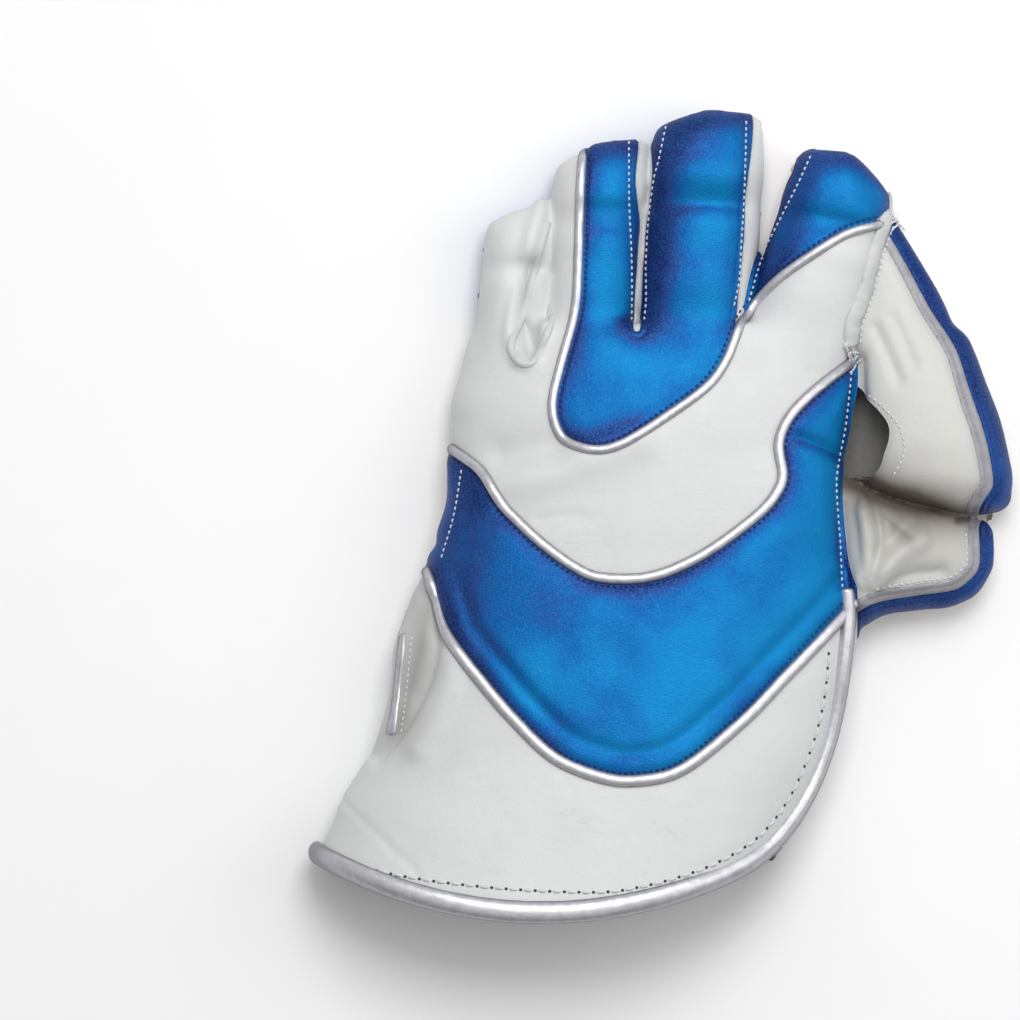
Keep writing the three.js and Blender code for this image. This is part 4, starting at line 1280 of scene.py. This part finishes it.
# %% Ring pimples
STEP = 4.2
PIMPLE = np.array([(1.75, -0.3), (1.55, 0.65), (1.15, 1.05), (0.75, 0.9), (0.45, 0.45)])
palm_tree_faces = [f for f in skin.faces if f[piece_of] == PIECES.index("palm_facing")]
palm_index = {v: i for i, v in enumerate({v: None for f in palm_tree_faces for v in f.verts})}
facing_points = np.array([v.co for v in palm_index]) / MM
facing_faces = [tuple(palm_index[v] for v in f.verts) for f in palm_tree_faces]
facing = BVHTree.FromPolygons(facing_points.tolist(), facing_faces)
facing_border = border_of(facing_faces)
border_tree = KDTree(len(facing_border))
for i, (a, b) in enumerate(facing_border):
    border_tree.insert((facing_points[a] + facing_points[b]) / 2, i)
border_tree.balance()


def pimple_places():
    low, high = facing_points.min(0), facing_points.max(0)
    for row, y in enumerate(np.arange(low[1], high[1], STEP * math.sqrt(3) / 2)):
        for x in np.arange(low[0] + (row % 2) * STEP / 2, high[0], STEP):
            place, normal, _, _ = facing.ray_cast(Vector((x, y, -50)), Vector((0, 0, 1)))
            if place is not None and normal.z < -0.25 and border_tree.find(place)[2] > 1.9:
                yield np.array(place), np.array(normal)


places = list(pimple_places())
sides = 8
angle = np.linspace(0, 2 * np.pi, sides, endpoint=False)
profile = np.array([(r * np.cos(a), r * np.sin(a), h) for r, h in PIMPLE for a in angle] + [(0, 0, 0.25)])
pimple_points, pimple_faces = [], []
for place, normal in places:
    side = np.cross(normal, (0, 1, 0))
    side /= np.linalg.norm(side)
    basis = np.array([side, np.cross(normal, side), normal])
    first = len(pimple_points) * len(profile)
    pimple_points.append(profile @ basis + place)
    for i in range(len(PIMPLE) - 1):
        for j in range(sides):
            k = (j + 1) % sides
            a, b = i * sides, (i + 1) * sides
            pimple_faces.append((first + a + j, first + a + k, first + b + k, first + b + j))
    last = (len(PIMPLE) - 1) * sides
    for j in range(sides):
        pimple_faces.append((first + last + j, first + last + (j + 1) % sides, first + len(profile) - 1))
pimple_points = np.vstack(pimple_points)
pimple_points[:, 2] = np.maximum(pimple_points[:, 2], 0.12)
pimple_mesh = bpy.data.meshes.new("pimples")
pimple_mesh.from_pydata((pimple_points * MM).tolist(), [], pimple_faces)
pimple_mesh.polygons.foreach_set("use_smooth", [True] * len(pimple_faces))
rubber["pimples"] = finished(pimple_mesh, "pimples", [], "rubber_facing")
print(len(places), "pimples")

# %% [markdown]
# ## Colour zones of the facing
# The rubber is one sheet moulded in three colours: white for the index finger and thumb, blue for the
# other fingers and the middle of the palm, and a grey line between them. The signed distance to the edge
# of the blue zone is stored on the points, and the finish turns it into colour.

# %% The blue zone
BLUE_ZONE = [
    (17, 200), (19, 180), (22, 144), (25, 120), (29, 88), (34, 52), (10, 28), (-16, 54), (-17, 70), (-20, 84),
    (-31, 94), (-60, 96), (-110, 100), (-110, 220),
]
zone_outline = np.array(BLUE_ZONE, float) + ORIGIN
blue_zone = inside_of(np.vstack([evenly(zone_outline[:10], 3.0), zone_outline[10:]]))
for obj in rubber.values():
    at, _ = mesh_arrays(obj.data)
    zone = obj.data.attributes.new("zone", "FLOAT", "POINT")
    zone.data.foreach_set("value", blue_zone(at).astype(np.float32))
print("zones on", len(rubber), "pieces of rubber")

# %% [markdown]
# ## Writing finishes
# A finish is a small sum in the shader: a grain here, a darker edge there. Node by node that is hard to
# read, so one class wraps a socket and lets Python's own operators add the nodes. Another makes any
# node from its type, its settings and what goes into its sockets.

# %% Shader helpers
class Wire:
    """A number or colour in a shader tree."""

    def __init__(self, finish, socket):
        self.finish = finish
        self.socket = socket

    def math(self, operation, *values):
        return self.finish.node("ShaderNodeMath", {"operation": operation}, *values)

    def __add__(self, other):
        return self.math("ADD", self, other)

    def __sub__(self, other):
        return self.math("SUBTRACT", self, other)

    def __rsub__(self, other):
        return self.math("SUBTRACT", other, self)

    def __mul__(self, other):
        return self.math("MULTIPLY", self, other)

    __radd__ = __add__
    __rmul__ = __mul__

    def clamped(self):
        return self.finish.node("ShaderNodeClamp", {}, self)

    def between(self, low, high):
        """0 at low, 1 at high, and eased between."""
        settings = {"interpolation_type": "SMOOTHSTEP"}
        return self.finish.node("ShaderNodeMapRange", settings, self, low, high, 0.0, 1.0)


class Finish:
    """A material under construction, whose surface is one Principled shader."""

    def __init__(self, name, **constants):
        self.material = bpy.data.materials.new(name)
        self.material.use_nodes = True
        self.tree = self.material.node_tree
        self.shader = self.tree.nodes["Principled BSDF"]
        for socket, value in constants.items():
            self.shader.inputs[socket.replace("_", " ")].default_value = value
        self.at = self.node("ShaderNodeTexCoord", {"output": "Object"})

    def node(self, kind, settings, *values, **named):
        """Any node: its settings first, then its sockets by place or by name."""
        node = self.tree.nodes.new(kind)
        settings = dict(settings)
        output = settings.pop("output", 0)
        stops = settings.pop("stops", None)
        for key, value in settings.items():
            setattr(node, key, value)
        if stops:
            ramp = node.color_ramp
            while len(ramp.elements) < len(stops):
                ramp.elements.new(0.5)
            for element, (position, colour) in zip(ramp.elements, stops):
                element.position = position
                element.color = (*colour, 1)
        for key, value in [*enumerate(values), *((k.replace("_", " "), v) for k, v in named.items())]:
            self.feed(node.inputs[key], value)
        return Wire(self, node.outputs[output])

    def feed(self, socket, value):
        if isinstance(value, Wire):
            self.tree.links.new(value.socket, socket)
        else:
            socket.default_value = value

    def noise(self, size, detail=3.0, roughness=0.5, at=None):
        """Noise whose blobs are about size millimetres wide."""
        values = {"Vector": at or self.at, "Scale": 1 / (size * MM), "Detail": detail, "Roughness": roughness}
        return self.node("ShaderNodeTexNoise", {"output": "Fac"}, **values)

    def cells(self, size):
        """Soft cells about size millimetres wide, like the pebbles of leather."""
        settings = {"feature": "SMOOTH_F1", "output": "Distance"}
        return self.node("ShaderNodeTexVoronoi", settings, Vector=self.at, Scale=1 / (size * MM))

    def stretched(self, x, y, z):
        """The place on the object, squeezed along each axis by a factor."""
        return self.node("ShaderNodeVectorMath", {"operation": "MULTIPLY"}, self.at, (x, y, z))

    def stored(self, name):
        return self.node("ShaderNodeAttribute", {"attribute_name": name, "output": "Fac"})

    def ramp(self, value, stops):
        return self.node("ShaderNodeValToRGB", {"stops": stops}, value)

    def mix(self, factor, below, over):
        node = self.tree.nodes.new("ShaderNodeMix")
        node.data_type = "RGBA"
        for key, value in ((0, factor), (6, below), (7, over)):
            self.feed(node.inputs[key], (*value, 1) if isinstance(value, tuple) else value)
        return Wire(self, node.outputs[2])

    def surface(self, colour, roughness, height, depth, metallic=None):
        """Feeds the shader. height is in shares of depth millimetres."""
        self.feed(self.shader.inputs["Base Color"], colour)
        self.feed(self.shader.inputs["Roughness"], roughness)
        if metallic is not None:
            self.feed(self.shader.inputs["Metallic"], metallic)
        bump = self.node("ShaderNodeBump", {}, Height=height, Distance=depth * MM)
        self.feed(self.shader.inputs["Normal"], bump)
        return self.material


print("helpers ready")

# %% [markdown]
# ## White leather
# Glove leather is chalk white with a fine pebbled grain, and softly shiny where it is stretched. Fine
# creases cross it. The grain is a cell pattern with a little noise, the creases are stretched noise cut
# to thin lines, and the tone wanders at random. Painted shade cools and greys the colour in the creases
# and near the seams, and a brown painted shade lies in the deep folds.

# %% White leather and lining
def white_leather(name, tint=(0.65, 0.665, 0.66)):
    f = Finish(name, Specular_IOR_Level=0.45)
    grain = f.cells(0.9) * 0.7 + f.noise(0.5, 2.0) * 0.5
    soft = f.noise(26.0, 3.0)
    wander = f.noise(9.0, 4.0, 0.6, f.stretched(0.45, 1.5, 1.0)) - 0.5
    creases = wander.math("ABSOLUTE", wander)
    lines = (1 - creases.between(0.0, 0.012)) * f.noise(17.0, 2.0).between(0.5, 0.7)
    # painted shade: greyer in the creases and within 3.5 mm of a piece's border, where the leather turns down
    # into its seam; the slow noise adds random tone
    shade = (soft - 0.5) * 0.5 + lines * 0.06 + (1 - f.stored("edge").between(0.0, 3.5)) * 0.35
    greyed_white = f.mix(shade.clamped(), tint, (0.42, 0.43, 0.43))
    # brown painted shade in the fold of the thumb and the hollows, from the value stored on the points
    colour = f.mix((f.stored("fold_shade") * (1.0 + soft * 0.7)).clamped(), greyed_white, (0.13, 0.105, 0.085))
    height = grain * 0.3 - lines * 0.2 + soft * 3.0
    return f.surface(colour, 0.38 + f.noise(3.0) * 0.2, height, 0.22)


def lining():
    f = Finish("lining", Specular_IOR_Level=0.2)
    weave = f.node("ShaderNodeTexWave", {"output": "Fac"}, Vector=f.at, Scale=700.0, Distortion=2.0)
    colour = f.mix(f.noise(2.0) * 0.7 + weave * 0.3, (0.19, 0.185, 0.175), (0.34, 0.335, 0.325))
    return f.surface(colour, 0.9, weave + f.noise(0.8), 0.15)


leather_white = white_leather("white_leather")
# painted shade: a darker, warmer copy of the white leather for the thumb and its base, which lie in shade
leather_thumb_shaded = white_leather("shaded_white_leather_of_thumb", tint=(0.60, 0.60, 0.57))
lining_grey = lining()
print("white leather and lining")

# %% [markdown]
# ## Blue leather
# The blue hide has a pearl foil pressed on it, and a fine speckle of the foil shows everywhere. Its light
# and shade are painted into the colour: where it faces up it is azure, where it turns away it goes to
# royal and almost purple, and the middle of a panel is lighter than its border. The direction of the
# surface chooses the colour here, with slow noise so that no area is even.

# %% Blue leather
# painted light: the blue is lightest where its surface faces this way, as if lit from there
PAINTED_LIGHT_SIDE = (0.45, -0.3, 0.84)  # a surface that faces this way is azure
LIT_AND_SHADED_BLUES = [
    # share of light, colour
    (0.0, (0.012, 0.020, 0.14)),
    (0.3, (0.018, 0.050, 0.24)),
    (0.6, (0.001, 0.100, 0.36)),
    (1.0, (0.0, 0.21, 0.50)),
]


def blue_leather(name, deep=0.0):
    f = Finish(name, Specular_IOR_Level=0.15)
    normal = f.node("ShaderNodeNewGeometry", {"output": "Normal"})
    towards = {"operation": "DOT_PRODUCT", "output": "Value"}
    # painted light and shade: azure where the surface faces the light side, royal and purple where it turns
    # away, and lighter away from a panel's border
    facing = f.node("ShaderNodeVectorMath", towards, normal, PAINTED_LIGHT_SIDE)
    slow = f.noise(38.0, 2.0) + (f.noise(11.0, 3.0) - 0.5) * 0.3
    inner = f.stored("edge").between(0.5, 11.0)
    lit = facing.between(0.45, 0.95) * 0.8 + (slow - 0.5) * 1.3 + inner * 0.35 - 0.18 - deep
    base = f.ramp(lit, LIT_AND_SHADED_BLUES)
    speckle = f.noise(0.8, 3.0, 0.75).between(0.42, 0.66)
    colour = f.mix(speckle * 0.45, base, (0.02, 0.20, 0.50))
    grain = f.cells(0.8) * 0.6 + f.noise(0.4, 3.0) * 0.8
    height = grain + f.noise(14.0) * 1.5
    return f.surface(colour, 0.38 + f.noise(1.5) * 0.18, height, 0.2, metallic=0.4 + speckle * 0.2)


leather_blue = blue_leather("blue_leather")
leather_navy = blue_leather("blue_leather_band", deep=0.55)
print("blue leather, and a deeper one for the bands")

# %% [markdown]
# ## Silver, grey, rubber and thread
# Piping and binding are cut from silver foil leather, which wrinkles across where it goes round a curve.
# Painted shade darkens it where its surface turns down.
# The rubber is dull and slightly soiled in patches. Thread is twisted, so fine slanting
# ridges run along it.

# %% The other finishes
def silver_leather(name):
    f = Finish(name, Specular_IOR_Level=0.6)
    wrinkles = f.noise(3.0, 4.0, 0.6)
    fine = f.noise(0.5, 3.0, 0.6)
    normal = f.node("ShaderNodeNewGeometry", {"output": "Normal"})
    up = f.node("ShaderNodeSeparateXYZ", {"output": "Z"}, normal)
    foil = f.mix(wrinkles.between(0.3, 0.7), (0.58, 0.57, 0.61), (0.70, 0.70, 0.74))
    # painted shade: dark grey where the surface turns away from above, the wrinkled foil where it faces up
    colour = f.mix(up.between(0.2, 0.85), (0.22, 0.21, 0.24), foil)
    return f.surface(colour, 0.34 + fine * 0.12, wrinkles + fine * 0.4, 0.12, metallic=0.75)


def grey_trim(name):
    f = Finish(name, Specular_IOR_Level=0.5)
    fine = f.noise(0.6, 3.0, 0.6)
    colour = f.mix(f.noise(5.0), (0.25, 0.245, 0.265), (0.40, 0.395, 0.425))
    return f.surface(colour, 0.35 + fine * 0.2, fine + f.noise(3.0), 0.25, metallic=0.35)


def facing_rubber(name):
    f = Finish(name, Specular_IOR_Level=0.35)
    zone = f.stored("zone")
    dirt = f.noise(6.0, 4.0, 0.6)
    pale = f.mix(dirt.between(0.35, 0.75), (0.70, 0.62, 0.60), (0.52, 0.46, 0.44))
    grey = f.mix(dirt, (0.30, 0.30, 0.27), (0.44, 0.44, 0.40))
    blue = f.mix(dirt, (0.01, 0.10, 0.40), (0.02, 0.17, 0.55))
    colour = f.mix(zone.between(5.5, 7.0), f.mix(zone.between(-0.4, 0.4), blue, grey), pale)
    return f.surface(colour, 0.62 + dirt * 0.2, f.noise(0.7, 3.0), 0.1)


def thread_finish(name, colour, shade):
    f = Finish(name, Specular_IOR_Level=0.4)
    slanting = {"output": "Fac", "bands_direction": "DIAGONAL"}
    twist = f.node("ShaderNodeTexWave", slanting, Vector=f.at, Scale=900.0)
    return f.surface(f.mix(twist, shade, colour), 0.55, twist, 0.12)


piping_silver = silver_leather("silver_binding")
trim_grey = grey_trim("grey_trim")
rubber_facing = facing_rubber("rubber_facing")
thread_white = thread_finish("white_thread", (0.85, 0.86, 0.88), (0.62, 0.64, 0.68))
thread_navy = thread_finish("navy_thread", (0.02, 0.03, 0.16), (0.01, 0.012, 0.07))
# dark dashes that paint the shade of the needle holes
hole_shade_finish = thread_finish("painted_needle_hole_shade", (0.05, 0.05, 0.05), (0.02, 0.02, 0.02))
finishes = [leather_white, leather_blue, trim_grey, piping_silver, rubber_facing]
for group, material in zip(made_of.values(), finishes):
    for obj in group.values():
        obj.data.materials.append(material)
        obj.data.materials.append(lining_grey)
thread_finishes = {"navy_thread": thread_navy, "painted_needle_hole_shade": hole_shade_finish}
for key, obj in thread.items():
    obj.data.materials.append(thread_finishes.get(key, thread_white))
for key in ("thumb_band", "thumb_base_band"):
    blue[key].data.materials[0] = leather_navy
# the thumb's pieces take the copy of the white leather with painted shade
for key in ("thumb_back", "thumb_base"):
    white[key].data.materials[0] = leather_thumb_shaded
print(len(bpy.data.materials), "materials")

# %% [markdown]
# ## Studio
# The glove lies on white paper and is seen from straight above, from far off, so that its hem and its
# fingertips are drawn to the same scale. A large soft light comes over the fingertips and a weaker one
# fills the thumb side. The plain sRGB view keeps the white leather as white as it is on paper.

# %% Camera, light and floor
CAMERA_AT = (-0.0611, 0.0030)
CAMERA_HEIGHT = 5.0
VIEW_WIDTH = 0.408
FOCUS_HEIGHT = 0.035
LIGHTS = [
    # name, place, size, watts
    ("over fingertips", (0.15, 0.8, 1.6), 0.9, 16.0),
    ("thumb side", (1.2, 0.1, 0.9), 0.9, 4.0),
]
SKY_SIDE = (0.0, 0.35, 0.94)  # the sky is lightest this way
SKY = [(0.05, (0.10, 0.10, 0.11, 1)), (0.95, (1.0, 1.0, 1.0, 1))]
SKY_STRENGTH = 0.8
camera_data = bpy.data.cameras.new("camera")
camera_data.lens = camera_data.sensor_width * (CAMERA_HEIGHT - FOCUS_HEIGHT) / VIEW_WIDTH
camera = bpy.data.objects.new("camera", camera_data)
camera.location = (*CAMERA_AT, CAMERA_HEIGHT)
bpy.context.scene.collection.objects.link(camera)
bpy.context.scene.camera = camera
for name, place, size, power in LIGHTS:
    light_data = bpy.data.lights.new(name, "AREA")
    light_data.size = size
    light_data.energy = power
    light = bpy.data.objects.new(name, light_data)
    light.location = place
    light.rotation_euler = Vector(place).to_track_quat("Z", "Y").to_euler()
    bpy.context.scene.collection.objects.link(light)
world = bpy.data.worlds.new("studio")
bpy.context.scene.world = world
world.use_nodes = True
sky = world.node_tree
background = sky.nodes["Background"]
direction = sky.nodes.new("ShaderNodeTexCoord")
slope = sky.nodes.new("ShaderNodeVectorMath")
slope.operation = "DOT_PRODUCT"
slope.inputs[1].default_value = SKY_SIDE
shade = sky.nodes.new("ShaderNodeValToRGB")
for element, (position, colour) in zip(shade.color_ramp.elements, SKY):
    element.position = position
    element.color = colour
sky.links.new(direction.outputs["Generated"], slope.inputs[0])
sky.links.new(slope.outputs["Value"], shade.inputs["Fac"])
sky.links.new(shade.outputs["Color"], background.inputs["Color"])
background.inputs["Strength"].default_value = SKY_STRENGTH
bpy.context.scene.view_settings.view_transform = "Standard"
floor_mesh = bpy.data.meshes.new("floor")
floor_mesh.from_pydata([(-4, -4, 0), (4, -4, 0), (4, 4, 0), (-4, 4, 0)], [], [(0, 1, 2, 3)])
floor = bpy.data.objects.new("floor", floor_mesh)
bpy.context.scene.collection.objects.link(floor)
paper = Finish("paper", Specular_IOR_Level=0.2)
paper_white = paper.mix(paper.noise(40.0), (0.93, 0.93, 0.93), (0.95, 0.95, 0.95))
floor.data.materials.append(paper.surface(paper_white, 0.8, paper.noise(1.5), 0.02))
print("lens", round(camera_data.lens, 1), "mm")
